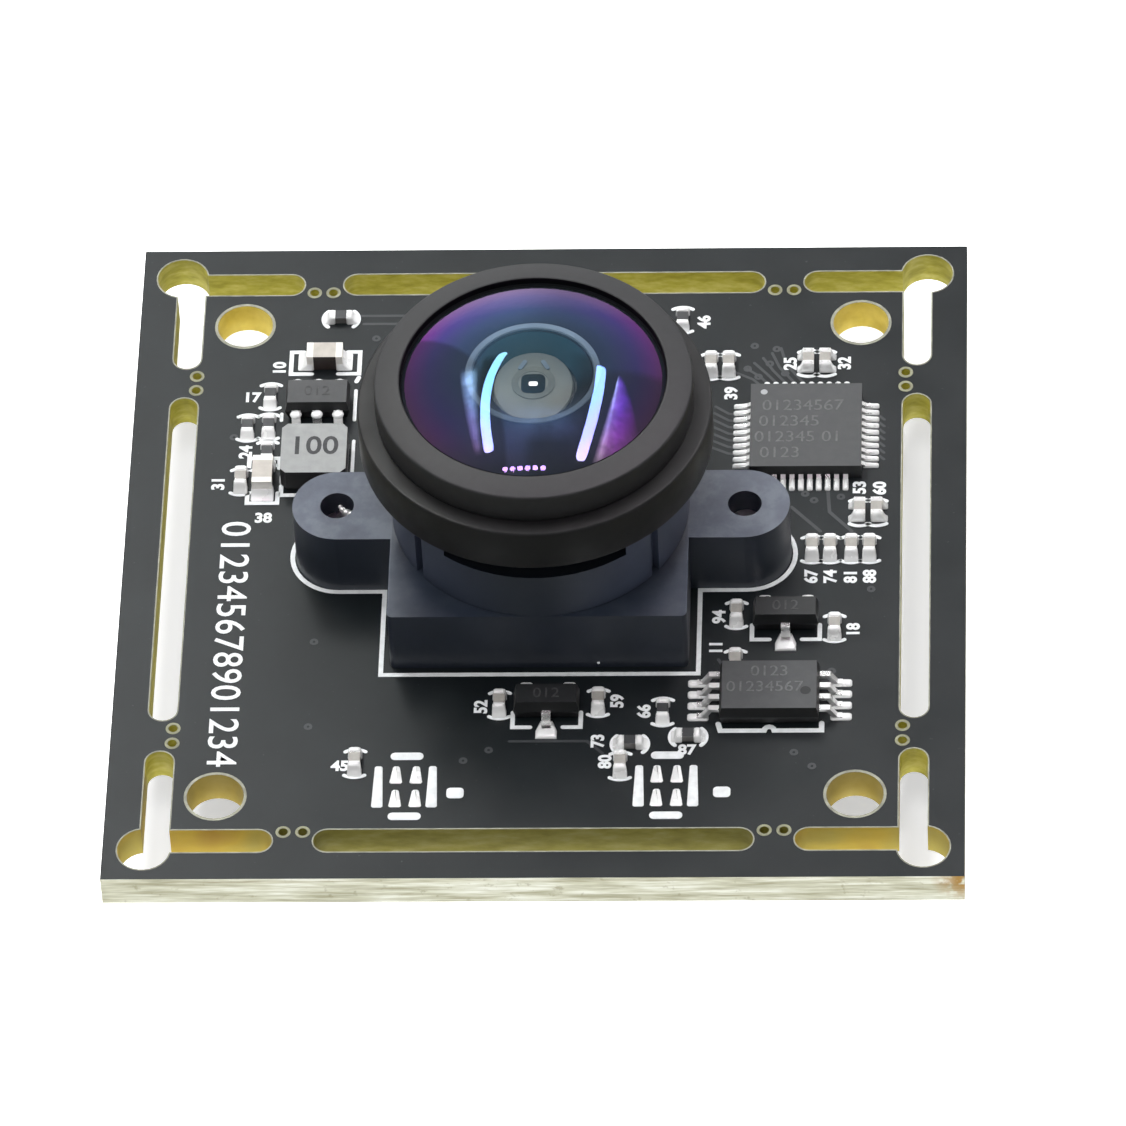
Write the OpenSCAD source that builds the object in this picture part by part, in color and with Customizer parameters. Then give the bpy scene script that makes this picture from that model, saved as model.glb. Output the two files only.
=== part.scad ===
// Small board camera: a slotted circuit board carries an image sensor, a
// moulded lens holder with a screwed-in wide-angle lens, and its electronics.
// Origin: centre of the four inner mounting holes, on the board's back face.
// +Z runs along the optical axis to the front, +X runs towards the controller.

/* [Board] */
// Pitch of the four inner mounting holes
mount_pitch = 28; // [27:0.1:32]
// Diameter of the inner mounting holes
mount_hole_d = 2.5; // [1.6:0.1:3.2]
// Distance from an inner hole to the corner hole outside it, in X and in Y
rail_step = 3; // [2.8:0.1:4]
// Diameter of the corner holes
corner_hole_d = 2.3; // [1.6:0.1:2.6]
// Distance from the corner holes' centres to the board's left and right edges
edge_x = 1.8; // [1.5:0.1:3]
// Distance from the corner holes' centres to the board's front and rear edges
edge_y = 1.7; // [1.5:0.1:3]
// Thickness of the board
board_t = 1.6; // [0.8:0.1:2.4]
// Width of the routed slots
slot_w = 1.25; // [0.8:0.05:1.5]
// How far the slots' centre line lies inside the corner holes
slot_inset = 0.45; // [0.2:0.05:0.6]
// Length of a corner slot from the corner hole's centre to its end
corner_slot_l = 5.6; // [4:0.1:6.5]
// Width of the bridges left between the slots
bridge_w = 1.8; // [1.4:0.1:2.6]
// Diameter of the small holes that perforate a bridge
bite_d = 0.4; // [0.3:0.05:0.5]
// Pitch of the two small holes in a bridge
bite_pitch = 0.85; // [0.7:0.05:0.9]
// How far the small holes lie inside the slots' centre line
bite_inset = 0.5; // [0.3:0.05:0.7]

/* [Lens holder] */
// Side of the holder's square base
base_w = 13.2; // [12.8:0.1:16]
// Height of the square base and its screw ears
base_h = 3.4; // [2.9:0.1:4.5]
// Corner radius of the square base
base_corner_r = 0.25; // [0.1:0.05:0.6]
// Pitch of the two screw holes in the ears
ear_pitch = 18.1; // [17.2:0.1:19]
// Radius of the ears' round ends
ear_r = 2; // [1.5:0.1:2.4]
// Wall of the round tower outside its thread
tower_wall = 0.6; // [0.5:0.05:1]
// Width of the notches at the front and back of the rim
notch_w = 8; // [6:0.1:9]
// Depth of the rim notches
notch_h = 1.05; // [0.5:0.05:1.6]
// Width of the four grooves down the tower
groove_w = 0.5; // [0.2:0.05:0.6]
// Depth of the tower's grooves
groove_depth = 0.35; // [0.15:0.05:0.4]
// Direction of a groove, measured from the front of the tower
groove_angle = 52; // [46:1:62]
// Side of the square chamber over the sensor
chamber_w = 11.2; // [9.5:0.1:11.6]
// Height of the sensor chamber
chamber_h = 1.8; // [1.5:0.1:2.1]
// Thickness of the shelf that carries the filter
shelf_t = 0.7; // [0.6:0.05:1]
// Side of the light window in the shelf
window_w = 6.4; // [5:0.1:6.8]

/* [Filter and sensor] */
// Side of the square filter
filter_w = 7.6; // [7.2:0.1:8.1]
// Thickness of the filter
filter_t = 0.3; // [0.2:0.05:0.4]
// Gap round the filter in its pocket
filter_gap = 0.1; // [0.05:0.05:0.2]
// Width of the sensor package
sensor_w = 7.2; // [5:0.1:8]
// Depth of the sensor package
sensor_d = 6.4; // [5:0.1:8]
// Thickness of the sensor package
sensor_t = 0.75; // [0.5:0.05:1]
// Margin of the package round its cover glass
sensor_rim = 0.25; // [0.1:0.05:0.5]
// Thickness of the cover glass
sensor_glass_t = 0.4; // [0.3:0.05:0.45]

/* [Lens barrel] */
// Nominal diameter of the lens thread
thread_d = 12; // [11.6:0.1:12.4]
// Length of the threaded body below the flange
thread_l = 4.7; // [4.2:0.1:6]
// Radial gap in each screw thread
thread_gap = 0.03; // [0.01:0.01:0.05]
// Space between the filter shelf and the lens
barrel_gap = 0.7; // [0.2:0.1:1.5]
// Space between the holder's rim and the lens flange
focus_gap = 0.9; // [0.2:0.1:1.5]
// Height of the relief groove under the flange
relief_h = 0.5; // [0.3:0.05:0.8]
// Depth of the relief groove
relief_depth = 0.35; // [0.2:0.05:0.5]
// Thickness of the flange
flange_t = 2.25; // [1.8:0.05:2.6]
// How far the flange stands out from the front ring
flange_step = 0.8; // [0.4:0.05:1.2]
// Chamfer of the flange's edges
flange_chamfer = 0.15; // [0.05:0.05:0.3]
// Wall of the spigot that the front ring screws on
spigot_wall = 0.38; // [0.3:0.02:0.5]
// How far the spigot stays below the front ring's lip
spigot_gap = 0.15; // [0.05:0.05:0.3]
// Thickness of the wall behind the rearmost element
rear_wall_t = 0.5; // [0.4:0.05:0.7]
// Diameter of the opening in the rear wall
rear_opening_d = 6.4; // [5.6:0.1:7]

/* [Front ring] */
// Wall of the front ring outside its thread
ring_wall = 0.47; // [0.35:0.01:0.8]
// Thickness of the lip at its outer edge
lip_t = 0.35; // [0.25:0.05:0.6]
// How much the lip rises towards the glass
lip_rise = 0.25; // [0.1:0.05:0.4]
// How far the lip laps over the front element
lip_lap = 0.24; // [0.2:0.02:0.4]
// Chamfer of the front ring's outer edge
ring_chamfer = 0.2; // [0.05:0.05:0.3]

/* [Lens elements] */
// Radial gap round each element in its bore
glass_gap = 0.02; // [0.01:0.01:0.04]
// Diameter of the front element
front_d = 12.2; // [11.8:0.1:12.8]
// Edge thickness of the front element
front_edge = 0.9; // [0.7:0.05:1.2]
// Height of the front element's step inside the front ring's lip
front_step = 0.3; // [0.2:0.05:0.4]
// Radius of the front element's outer face
front_outer_r = 14; // [11:0.1:16]
// Radius of the front element's hollow face
front_hollow_r = 6.5; // [6.3:0.1:8]
// Diameter of the hollow face
front_hollow_d = 8.8; // [8:0.1:9]
// Diameter of the second element
second_d = 9.8; // [9.4:0.1:10.4]
// Edge thickness of the second element
second_edge = 0.8; // [0.7:0.05:1]
// Radius of the second element's outer face
second_outer_r = 6.5; // [6:0.1:8]
// Radius of the second element's hollow face
second_hollow_r = 3.2; // [3.1:0.1:4]
// Diameter of the second element's hollow face
second_hollow_d = 5.4; // [5:0.1:5.6]
// Diameter of the rear elements
rear_d = 8; // [7.6:0.1:8.6]
// Edge thickness of the third element
third_edge = 1; // [0.8:0.05:1.2]
// Radius of the third element's outer face
third_outer_r = 5; // [4.6:0.1:8]
// Edge thickness of the doublet's front half
doublet_front_edge = 0.7; // [0.6:0.05:1]
// Radius of the doublet's front face
doublet_front_r = 9; // [8:0.1:14]
// Edge thickness of the doublet's rear half
doublet_rear_edge = 1.3; // [1.2:0.05:1.6]
// Radius of the cemented face
cement_r = 8; // [7:0.1:12]
// Flat margin round the cemented face
cement_margin = 0.4; // [0.2:0.05:0.8]
// Thickness of the cement
cement_t = 0.02; // [0.01:0.01:0.05]
// Radius of the doublet's rear face
doublet_rear_r = 14; // [12:0.5:20]
// Thickness of the aperture stop
stop_t = 0.1; // [0.05:0.01:0.2]
// Diameter of the hole in the aperture stop
stop_d = 1.8; // [1:0.1:3]
// Height of the spacer behind the stop
rear_spacer_h = 0.9; // [0.85:0.05:1.2]
// Gap between the third element's dome and the second element's flat rim
middle_air = 0.26; // [0.1:0.02:0.6]
// Height of the spacer behind the front element
front_spacer_h = 1.05; // [0.9:0.05:1.4]
// Wall of the spacers
spacer_wall = 0.5; // [0.3:0.05:0.7]
// Gap between the domes' edges and the spacers and the rear wall
dome_gap = 0.1; // [0.05:0.05:0.3]

/* [Holder screws] */
// Diameter of the screws' shanks over the thread
screw_d = 1.44; // [1:0.02:1.7]
// How far a screw reaches into its ear
screw_reach = 2.2; // [1.5:0.1:2.6]
// Diameter of the screw heads
screw_head_d = 3; // [2.4:0.1:3.6]
// Height of the screw heads
screw_head_h = 0.9; // [0.7:0.05:1.2]
// Radial gap of the screws in the board
screw_gap = 0.2; // [0.1:0.05:0.4]
// Width of the recess across a screw head
recess_w = 0.35; // [0.25:0.05:0.5]
// Length of the recess
recess_l = 1.5; // [1:0.1:1.8]
// Depth of the recess
recess_depth = 0.45; // [0.3:0.05:0.5]

/* [Chips] */
// Side of the controller
controller_w = 5; // [4:0.1:5.4]
// Thickness of the controller
controller_t = 0.8; // [0.6:0.05:1]
// Pitch of the controller's terminals
terminal_pitch = 0.4; // [0.35:0.01:0.42]
// Width of a terminal
terminal_w = 0.22; // [0.15:0.01:0.26]
// Length of a terminal's solder outside the controller
terminal_l = 0.6; // [0.3:0.05:0.7]
// Height of the solder against the controller
terminal_h = 0.25; // [0.1:0.05:0.4]
// Number of terminals on each side
terminal_count = 10; // [6:1:11]
// Length of the memory's body between its leads
memory_l = 4.4; // [4:0.1:4.8]
// Width of the memory's body
memory_w = 3; // [2.8:0.1:3.4]
// Pitch of the memory's leads
memory_pitch = 0.65; // [0.6:0.01:0.7]
// Height of the moulded chips above the board
chip_h = 1.1; // [0.9:0.05:1.4]
// Stand-off under the moulded chips
chip_standoff = 0.1; // [0.05:0.01:0.15]
// Length of the small regulators and of the converter
regulator_l = 2.9; // [2.7:0.1:3.1]
// Width of the regulators
regulator_w = 1.3; // [1.1:0.05:1.5]
// Width of the converter
converter_w = 1.6; // [1.4:0.05:1.7]
// Pitch of the regulators' and converter's leads
regulator_pitch = 0.95; // [0.9:0.01:1]
// Draft of the moulded chips' sides
chip_draft = 0.12; // [0.05:0.01:0.2]
// Reach of a gull-wing lead beyond its chip
lead_reach = 0.6; // [0.5:0.05:0.7]
// Length of the memory's leads beyond its body
memory_lead_reach = 1; // [0.7:0.05:1.1]
// Length of a lead's foot
lead_foot = 0.35; // [0.25:0.05:0.4]
// Thickness of the leads
lead_t = 0.15; // [0.1:0.01:0.2]
// Width of the regulators' leads
lead_w = 0.4; // [0.3:0.02:0.5]
// Width of the memory's leads
memory_lead_w = 0.28; // [0.2:0.02:0.36]

/* [Passive parts] */
// Side of the inductor
inductor_w = 2.95; // [2.4:0.05:3]
// Height of the inductor
inductor_h = 1.2; // [1:0.05:1.5]
// Width of the inductor's terminals
inductor_terminal_w = 0.7; // [0.5:0.05:1]
// Thickness of the inductor's terminals
inductor_terminal_t = 0.12; // [0.08:0.01:0.2]
// Chamfer of the inductor's upright edges
inductor_chamfer = 0.25; // [0.1:0.05:0.4]
// Length of the two large capacitors
large_cap_l = 1.62; // [1.5:0.02:1.8]
// Width of the large capacitors
large_cap_w = 0.9; // [0.7:0.05:1]
// Height of the large capacitors
large_cap_h = 0.85; // [0.7:0.05:1]
// Length of a large capacitor's metal end
large_end_l = 0.3; // [0.2:0.05:0.45]
// Length of the small chip capacitors and resistors
small_l = 1; // [0.9:0.02:1.04]
// Width of the small chip parts
small_w = 0.5; // [0.4:0.02:0.6]
// Height of the small capacitors
small_cap_h = 0.5; // [0.4:0.02:0.6]
// Height of the resistors
resistor_h = 0.35; // [0.3:0.01:0.4]
// Length of a small part's metal end
small_end_l = 0.25; // [0.15:0.01:0.3]

/* [Socket and crystal] */
// Number of the socket's contacts
contact_count = 5; // [2:1:6]
// Pitch of the contacts
contact_pitch = 1.25; // [1:0.05:1.5]
// Width of a contact
contact_w = 0.4; // [0.3:0.05:0.5]
// Thickness of a contact
contact_t = 0.25; // [0.2:0.05:0.35]
// Height of the socket below the board
socket_h = 3.2; // [3:0.1:4]
// Depth of the socket from mouth to back
socket_d = 4.8; // [4.4:0.1:5.4]
// Wall of the socket beside its opening
socket_wall = 1.2; // [0.8:0.1:1.4]
// Wall of the socket above and below its opening
socket_skin = 0.55; // [0.4:0.05:0.7]
// Wall behind the socket's opening
socket_back = 0.9; // [0.7:0.1:1.2]
// Distance of the socket's mouth from the board's centre
socket_mouth_y = 15.4; // [15:0.1:15.9]
// Space between the outer contacts and the opening's sides
contact_margin = 1.7; // [1.2:0.1:2]
// Width of the socket's solder tabs along the mouth direction
tab_l = 1.4; // [1:0.1:2]
// Thickness of the tabs
tab_t = 0.25; // [0.2:0.05:0.3]
// Length of a tab's foot
tab_foot = 0.9; // [0.6:0.1:1.2]
// Height of a tab up the socket's side
tab_h = 1.6; // [1:0.1:2.4]
// Length of the crystal
crystal_l = 3.2; // [2.5:0.1:3.4]
// Width of the crystal
crystal_w = 2.5; // [2:0.1:2.6]
// Height of the crystal's ceramic base
crystal_base_h = 0.45; // [0.3:0.05:0.6]
// Height of the crystal's lid
crystal_lid_h = 0.25; // [0.15:0.05:0.35]
// Margin of the crystal's base round its lid
crystal_margin = 0.2; // [0.1:0.05:0.3]

/* [Hidden] */
$fn = 96;

// An amount by which a cut passes the face that it opens
cut = 0.5;

// The corner holes' pitch and the board's outline
corner_pitch = mount_pitch + 2 * rail_step;
board_w = corner_pitch + 2 * edge_x;
board_d = corner_pitch + 2 * edge_y;

// Where the slots and the perforated bridges lie
slot_line = corner_pitch / 2 - slot_inset;
corner_slot_end = corner_pitch / 2 - corner_slot_l;
mid_slot_end = corner_slot_end - bridge_w;
bridge_mid = (corner_slot_end + mid_slot_end) / 2;

// Radii of the domes inside the spacers, and of the doublet's faces
second_dome_r = second_d / 2 - spacer_wall - dome_gap;
rear_dome_r = rear_d / 2 - spacer_wall - dome_gap;
cement_face_r = rear_d / 2 - cement_margin;
rear_face_r = rear_opening_d / 2 - dome_gap;

// The spacer that keeps the third element's dome off the second element's rim
middle_spacer_h = middle_air + sag(third_outer_r, rear_dome_r)
    - sag(third_outer_r, second_hollow_d / 2);

// Heights above the board's front face, from the shelf up to the front ring
shelf_top = chamber_h + shelf_t;
lens_bottom = shelf_top + barrel_gap;
flange_bottom = lens_bottom + thread_l;
flange_top = flange_bottom + flange_t;
rim_top = flange_bottom - focus_gap;
doublet_rear_z = lens_bottom + rear_wall_t;
doublet_front_z = doublet_rear_z + doublet_rear_edge;
rear_spacer_z = doublet_front_z + doublet_front_edge;
stop_z = rear_spacer_z + rear_spacer_h;
third_z = stop_z + stop_t;
middle_spacer_z = third_z + third_edge;
second_z = middle_spacer_z + middle_spacer_h;
front_spacer_z = second_z + second_edge;
front_z = front_spacer_z + front_spacer_h;
lip_z = front_z + front_edge;
spigot_top = lip_z - spigot_gap;

// Radii of the holder, the barrel and the front ring
bore_r = thread_d / 2;
tower_r = bore_r + tower_wall;
ear_hole_r = screw_d / 2 + thread_gap;
body_r = bore_r - thread_gap;
front_bore_r = front_d / 2 + glass_gap;
second_bore_r = second_d / 2 + glass_gap;
rear_bore_r = rear_d / 2 + glass_gap;
spigot_r = front_bore_r + spigot_wall;
ring_inner_r = spigot_r + thread_gap;
ring_r = ring_inner_r + ring_wall;
flange_r = ring_r + flange_step;
lip_r = front_d / 2 - lip_lap;

// What the parts on the board keep clear of: the base, the ears, the inner holes
base_edge = base_w / 2;
ear_end = ear_pitch / 2 + ear_r;
hole_line = mount_pitch / 2;

// Gaps from the base, the ears and the inner holes to the chips beside them
controller_gap = [-2.4, 2.55];
memory_gap = [1.4, -0.5];
lower_regulator_gap = [0.4, -1.8];
side_regulator_gap = [2.8, -1.35];
inductor_gap = [-2.375, 1.975];
converter_gap = [0, 1.275];

// Places of the chips, as X and Y of their centres
controller_at = [hole_line, ear_r + controller_w / 2] + controller_gap;
memory_at = [base_edge + memory_l / 2, -base_edge - memory_w / 2] + memory_gap;
lower_regulator_at = [0, -base_edge - regulator_w / 2] + lower_regulator_gap;
side_regulator_at = [base_edge + regulator_l / 2, -ear_r - regulator_w / 2] + side_regulator_gap;
inductor_at = [-base_edge - inductor_w / 2, ear_r + inductor_w / 2] + inductor_gap;
converter_at = inductor_at + [0, (inductor_w + converter_w) / 2] + converter_gap;
crystal_at = [9, 8];

// Points from which the small parts beside them are placed
inductor_left = inductor_at - [inductor_w / 2, 0];
converter_left = converter_at - [inductor_w / 2, 0];
converter_rear = converter_at + [0, converter_w / 2];
controller_rear = controller_at + [0, controller_w / 2];
memory_rear = memory_at + [-memory_l / 2, memory_w / 2];
memory_front = memory_at - [memory_l / 2, memory_w / 2];
ear_tip = [ear_end, 0];
ear_corner = [hole_line, ear_r];
crystal_left = crystal_at - [crystal_l / 2, 0];

// Places of small parts from such a point: X, Y and the turn of their length from X
large_cap_behind_converter = [[0.2, 1.95, 0]];
large_cap_by_inductor = [[-0.825, -0.9, 90]];
cap_by_inductor = [[-1.825, -0.95, 90]];
caps_by_lower_regulator = [[-2.1, 0.25, 90], [2.25, 0.35, 90]];
caps_by_side_regulator = [[-2.2, 0.4, 90], [2.15, -0.4, 90]];
cap_behind_memory = [[0.65, 0.65, 90]];
cap_before_memory = [[-4.3, -2.25, 90]];
caps_by_ear = [[0.9, 0.25, 90], [1.7, 0.25, 90], [2.65, 0.25, 90], [3.45, 0.25, 90]];
caps_behind_ear = [[0.05, 0.45, 90], [0.8, 0.45, 90]];
caps_behind_controller = [[0.05, 1.95, 90], [0.8, 1.95, 90], [-4.35, 1.8, 90], [-3.55, 1.8, 90]];
lone_caps = [[-7.95, -12.15, 90]];
resistor_behind_converter = [[0.8, 4.6, 0]];
resistors_by_converter = [
    [-0.725, 0.65, 90], [-0.725, -1.2, 90], [-0.725, -2.85, 90], [-1.675, -1.25, 90]
];
resistors_by_memory = [[-2.5, 0.85, 90], [-1.35, -0.6, 0], [-3.9, -1, 0]];
lone_resistors = [[5.9, 14.2, 90]];
caps_by_crystal = [[-1, -0.4, 90], [-1, 1.4, 90]];
lone_back_caps = [
    [-3, 4.6, 0], [0, 4.6, 0], [3, 4.6, 0], [-3, -4.6, 0], [3, -4.6, 0],
    [-9.5, 6, 90], [-10.5, 6, 90]
];

// Moves a list of places to start from a point
function from(point, places) = [for (p = places) [point[0] + p[0], point[1] + p[1], p[2]]];

// Places of the capacitors and resistors on the board
large_caps_at = concat(
    from(converter_rear, large_cap_behind_converter), from(inductor_left, large_cap_by_inductor)
);
small_caps_at = concat(
    from(inductor_left, cap_by_inductor), from(lower_regulator_at, caps_by_lower_regulator),
    from(side_regulator_at, caps_by_side_regulator), from(memory_rear, cap_behind_memory),
    from(memory_front, cap_before_memory), from(ear_tip, caps_by_ear),
    from(ear_corner, caps_behind_ear), from(controller_rear, caps_behind_controller), lone_caps
);
resistors_at = concat(
    from(converter_rear, resistor_behind_converter), from(converter_left, resistors_by_converter),
    from(memory_front, resistors_by_memory), lone_resistors
);
back_caps_at = concat(from(crystal_left, caps_by_crystal), lone_back_caps);

// Sizes of the socket worked out from its contacts
cavity_w = (contact_count - 1) * contact_pitch + 2 * contact_margin;
socket_w = cavity_w + 2 * socket_wall;
cavity_h = socket_h - 2 * socket_skin;
cavity_d = socket_d - socket_back;
socket_back_y = socket_d - socket_mouth_y;

FR4 = [0.24, 0.26, 0.27];
HOLDER_BLACK = [0.14, 0.16, 0.19];
LENS_BLACK = [0.12, 0.12, 0.12];
GLASS = [0.45, 0.45, 0.7];
FILTER_GLASS = [0.75, 0.85, 0.8];
STEEL = [0.7, 0.7, 0.72];
TIN = [0.85, 0.86, 0.87];
CHIP_BLACK = [0.2, 0.21, 0.22];
GREY_CORE = [0.62, 0.64, 0.63];
CREAM = [0.85, 0.81, 0.75];
BROWN = [0.5, 0.44, 0.38];
SOCKET_WHITE = [0.9, 0.88, 0.82];
CERAMIC = [0.2, 0.19, 0.17];

// ---- helpers -------------------------------------------------------------

// Puts its children on the board's front face
module on_front() {
    translate([0, 0, board_t]) children();
}

// Puts its children on the back face, with their +Z pointing away from it
module on_back() {
    mirror([0, 0, 1]) children();
}

// A block centred in X and Y that stands on z = 0
module block(x, y, z) {
    translate([-x / 2, -y / 2, 0]) cube([x, y, z]);
}

// A square with round corners
module rounded_square(w, r) {
    square([w - 2 * r, w], center = true);
    square([w, w - 2 * r], center = true);
    for (x = [-1, 1], y = [-1, 1])
        translate([x * (w / 2 - r), y * (w / 2 - r)]) circle(r = r);
}

// A round-ended slot along X, right through the board
module slot(start, end) {
    translate([start, -slot_w / 2, -cut]) cube([end - start, slot_w, board_t + 2 * cut]);
    for (x = [start, end])
        translate([x, 0, -cut]) cylinder(d = slot_w, h = board_t + 2 * cut);
}

// A hole right through the board
module drill(d) {
    translate([0, 0, -cut]) cylinder(d = d, h = board_t + 2 * cut);
}

// Height of a spherical face of radius r over its rim of radius a
function sag(r, a) = r - sqrt(r * r - a * a);

// A spherical cap that stands on z = 0
module cap(r, a) {
    intersection() {
        translate([0, 0, sag(r, a) - r]) sphere(r = r);
        cylinder(r = a, h = r);
    }
}

// A ring that stands on z = 0
module ring(outer_r, inner_r, h) {
    difference() {
        cylinder(r = outer_r, h = h);
        translate([0, 0, -cut]) cylinder(r = inner_r, h = h + 2 * cut);
    }
}

// Cross-section of a moulded chip: widest at half height, drafted both ways
module chip_section(w, h) {
    polygon([
        [-w / 2 + chip_draft, 0], [w / 2 - chip_draft, 0], [w / 2, h / 2],
        [w / 2 - chip_draft, h], [-w / 2 + chip_draft, h], [-w / 2, h / 2]
    ]);
}

// A moulded chip body, l along X and w along Y, held off the board
module chip_body(l, w) {
    h = chip_h - chip_standoff;
    translate([0, 0, chip_standoff]) intersection() {
        translate([0, w / 2, 0]) rotate([90, 0, 0]) linear_extrude(w) chip_section(l, h);
        translate([-l / 2, 0, 0]) rotate([90, 0, 90]) linear_extrude(l) chip_section(w, h);
    }
}

// A gull-wing lead that leaves a chip's side at x = 0 and runs along +X
module gull_lead(reach, w) {
    mid = chip_standoff + (chip_h - chip_standoff) / 2;
    knee = (reach - lead_foot) / 2;
    translate([0, w / 2, 0]) rotate([90, 0, 0]) linear_extrude(w) polygon([
        [0, mid - lead_t / 2], [knee, mid - lead_t / 2], [reach - lead_foot, 0],
        [reach, 0], [reach, lead_t], [reach - lead_foot + lead_t, lead_t],
        [knee + lead_t, mid + lead_t / 2], [0, mid + lead_t / 2]
    ]);
}

// Gull-wing leads along the side of a chip at a distance from its centre
module lead_row(side, positions, reach, w) {
    for (y = positions)
        translate([side, y, 0]) gull_lead(reach, w);
}

// Positions of n leads about the middle of a side
function row(n, pitch) = [for (i = [0:n - 1]) (i - (n - 1) / 2) * pitch];

// Calls its child at each place, given as X, Y and a turn about Z
module at_each(places) {
    for (p = places)
        translate([p[0], p[1], 0]) rotate([0, 0, p[2]]) children();
}

// The middle of a chip capacitor or resistor, between its metal ends
module part_middle(l, w, h, end_l) {
    block(l - 2 * end_l, w, h);
}

// The two metal ends of a chip capacitor or resistor
module part_ends(l, w, h, end_l) {
    for (x = [-1, 1])
        translate([x * (l - end_l) / 2, 0, 0]) block(end_l, w, h);
}

// ---- board and holder ----------------------------------------------------

// The circuit board with its holes, routed slots and perforated bridges
module board() {
    color(FR4) difference() {
        block(board_w, board_d, board_t);
        for (x = [-1, 1], y = [-1, 1]) {
            translate([x * mount_pitch / 2, y * mount_pitch / 2, 0]) drill(mount_hole_d);
            translate([x * corner_pitch / 2, y * corner_pitch / 2, 0]) drill(corner_hole_d);
        }
        for (x = [-1, 1])
            translate([x * ear_pitch / 2, 0, 0]) drill(screw_d + 2 * screw_gap);
        for (turn = [0:90:270]) rotate([0, 0, turn]) board_side_cuts();
    }
}

// The slots and small holes along the rear side of the board
module board_side_cuts() {
    translate([0, slot_line, 0]) slot(slot_w / 2 - mid_slot_end, mid_slot_end - slot_w / 2);
    for (side = [-1, 1]) mirror([side < 0 ? 1 : 0, 0, 0]) {
        translate([0, slot_line, 0]) slot(corner_slot_end + slot_w / 2, slot_line);
        for (x = row(2, bite_pitch))
            translate([bridge_mid + x, slot_line - bite_inset, 0]) drill(bite_d);
    }
}

// The moulded holder: square base, two screw ears and a round threaded tower
module lens_holder() {
    color(HOLDER_BLACK) on_front() difference() {
        union() {
            linear_extrude(base_h) rounded_square(base_w, base_corner_r);
            block(ear_pitch, 2 * ear_r, base_h);
            for (x = [-1, 1])
                translate([x * ear_pitch / 2, 0, 0]) cylinder(r = ear_r, h = base_h);
            cylinder(r = tower_r, h = rim_top);
        }
        for (x = [-1, 1])
            translate([x * ear_pitch / 2, 0, -cut]) cylinder(r = ear_hole_r, h = base_h + 2 * cut);
        translate([0, 0, -cut]) block(chamber_w, chamber_w, chamber_h + cut);
        block(window_w, window_w, shelf_top + cut);
        translate([0, 0, shelf_top - filter_t])
            block(filter_w + 2 * filter_gap, filter_w + 2 * filter_gap, filter_t + cut);
        translate([0, 0, shelf_top]) cylinder(r = bore_r, h = rim_top);
        translate([0, 0, rim_top - notch_h]) block(notch_w, 2 * tower_r + cut, notch_h + cut);
        tower_grooves();
    }
}

// The four grooves that run down the tower to the top of the base
module tower_grooves() {
    for (side = [-1, 1], end = [0, 180])
        rotate([0, 0, end + side * groove_angle])
            translate([-groove_w / 2, -tower_r - cut, base_h])
                cube([groove_w, groove_depth + cut, rim_top]);
}

// The two screws that hold the holder from behind the board
module holder_screws() {
    color(STEEL) for (x = [-1, 1]) translate([x * ear_pitch / 2, 0, 0]) {
        cylinder(d = screw_d, h = board_t + screw_reach);
        on_back() difference() {
            cylinder(d = screw_head_d, h = screw_head_h);
            translate([0, 0, screw_head_h - recess_depth]) {
                block(recess_l, recess_w, recess_depth + cut);
                block(recess_w, recess_l, recess_depth + cut);
            }
        }
    }
}

// The square filter glass in its pocket in the shelf
module filter() {
    color(FILTER_GLASS) on_front() translate([0, 0, shelf_top - filter_t])
        block(filter_w, filter_w, filter_t);
}

// The image sensor's package
module sensor_package() {
    color(CHIP_BLACK) on_front() block(sensor_w, sensor_d, sensor_t);
}

// The glass over the image sensor
module sensor_glass() {
    color(FILTER_GLASS) on_front() translate([0, 0, sensor_t])
        block(sensor_w - 2 * sensor_rim, sensor_d - 2 * sensor_rim, sensor_glass_t);
}

// ---- lens ----------------------------------------------------------------

// The turned barrel: threaded body, relief groove, flange, spigot, stepped bore
module lens_barrel() {
    c = flange_chamfer;
    color(LENS_BLACK) on_front() rotate_extrude() polygon([
        [rear_opening_d / 2, lens_bottom],
        [body_r, lens_bottom],
        [body_r, flange_bottom - relief_h],
        [body_r - relief_depth, flange_bottom - relief_h],
        [body_r - relief_depth, flange_bottom],
        [flange_r - c, flange_bottom],
        [flange_r, flange_bottom + c],
        [flange_r, flange_top - c],
        [flange_r - c, flange_top],
        [spigot_r, flange_top],
        [spigot_r, spigot_top],
        [front_bore_r, spigot_top],
        [front_bore_r, front_z],
        [second_bore_r, front_z],
        [second_bore_r, second_z],
        [rear_bore_r, second_z],
        [rear_bore_r, doublet_rear_z],
        [rear_opening_d / 2, doublet_rear_z]
    ]);
}

// The ring screwed over the spigot, whose lip holds the front element
module front_ring() {
    c = ring_chamfer;
    color(LENS_BLACK) on_front() rotate_extrude() polygon([
        [ring_inner_r, flange_top],
        [ring_r, flange_top],
        [ring_r, lip_z + lip_t - c],
        [ring_r - c, lip_z + lip_t],
        [lip_r, lip_z + lip_t + lip_rise],
        [lip_r, lip_z],
        [ring_inner_r, lip_z]
    ]);
}

// The large domed glass at the front, hollow behind
module front_element() {
    face_r = lip_r - glass_gap;
    color(GLASS) on_front() translate([0, 0, front_z]) difference() {
        union() {
            cylinder(d = front_d, h = front_edge);
            cylinder(r = face_r, h = front_edge + front_step);
            translate([0, 0, front_edge + front_step]) cap(front_outer_r, face_r);
        }
        translate([0, 0, sag(front_hollow_r, front_hollow_d / 2) - front_hollow_r])
            sphere(r = front_hollow_r);
    }
}

// The spacer between the front and second elements
module front_spacer() {
    color(LENS_BLACK) on_front() translate([0, 0, front_spacer_z])
        ring(second_d / 2, second_d / 2 - spacer_wall, front_spacer_h);
}

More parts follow.
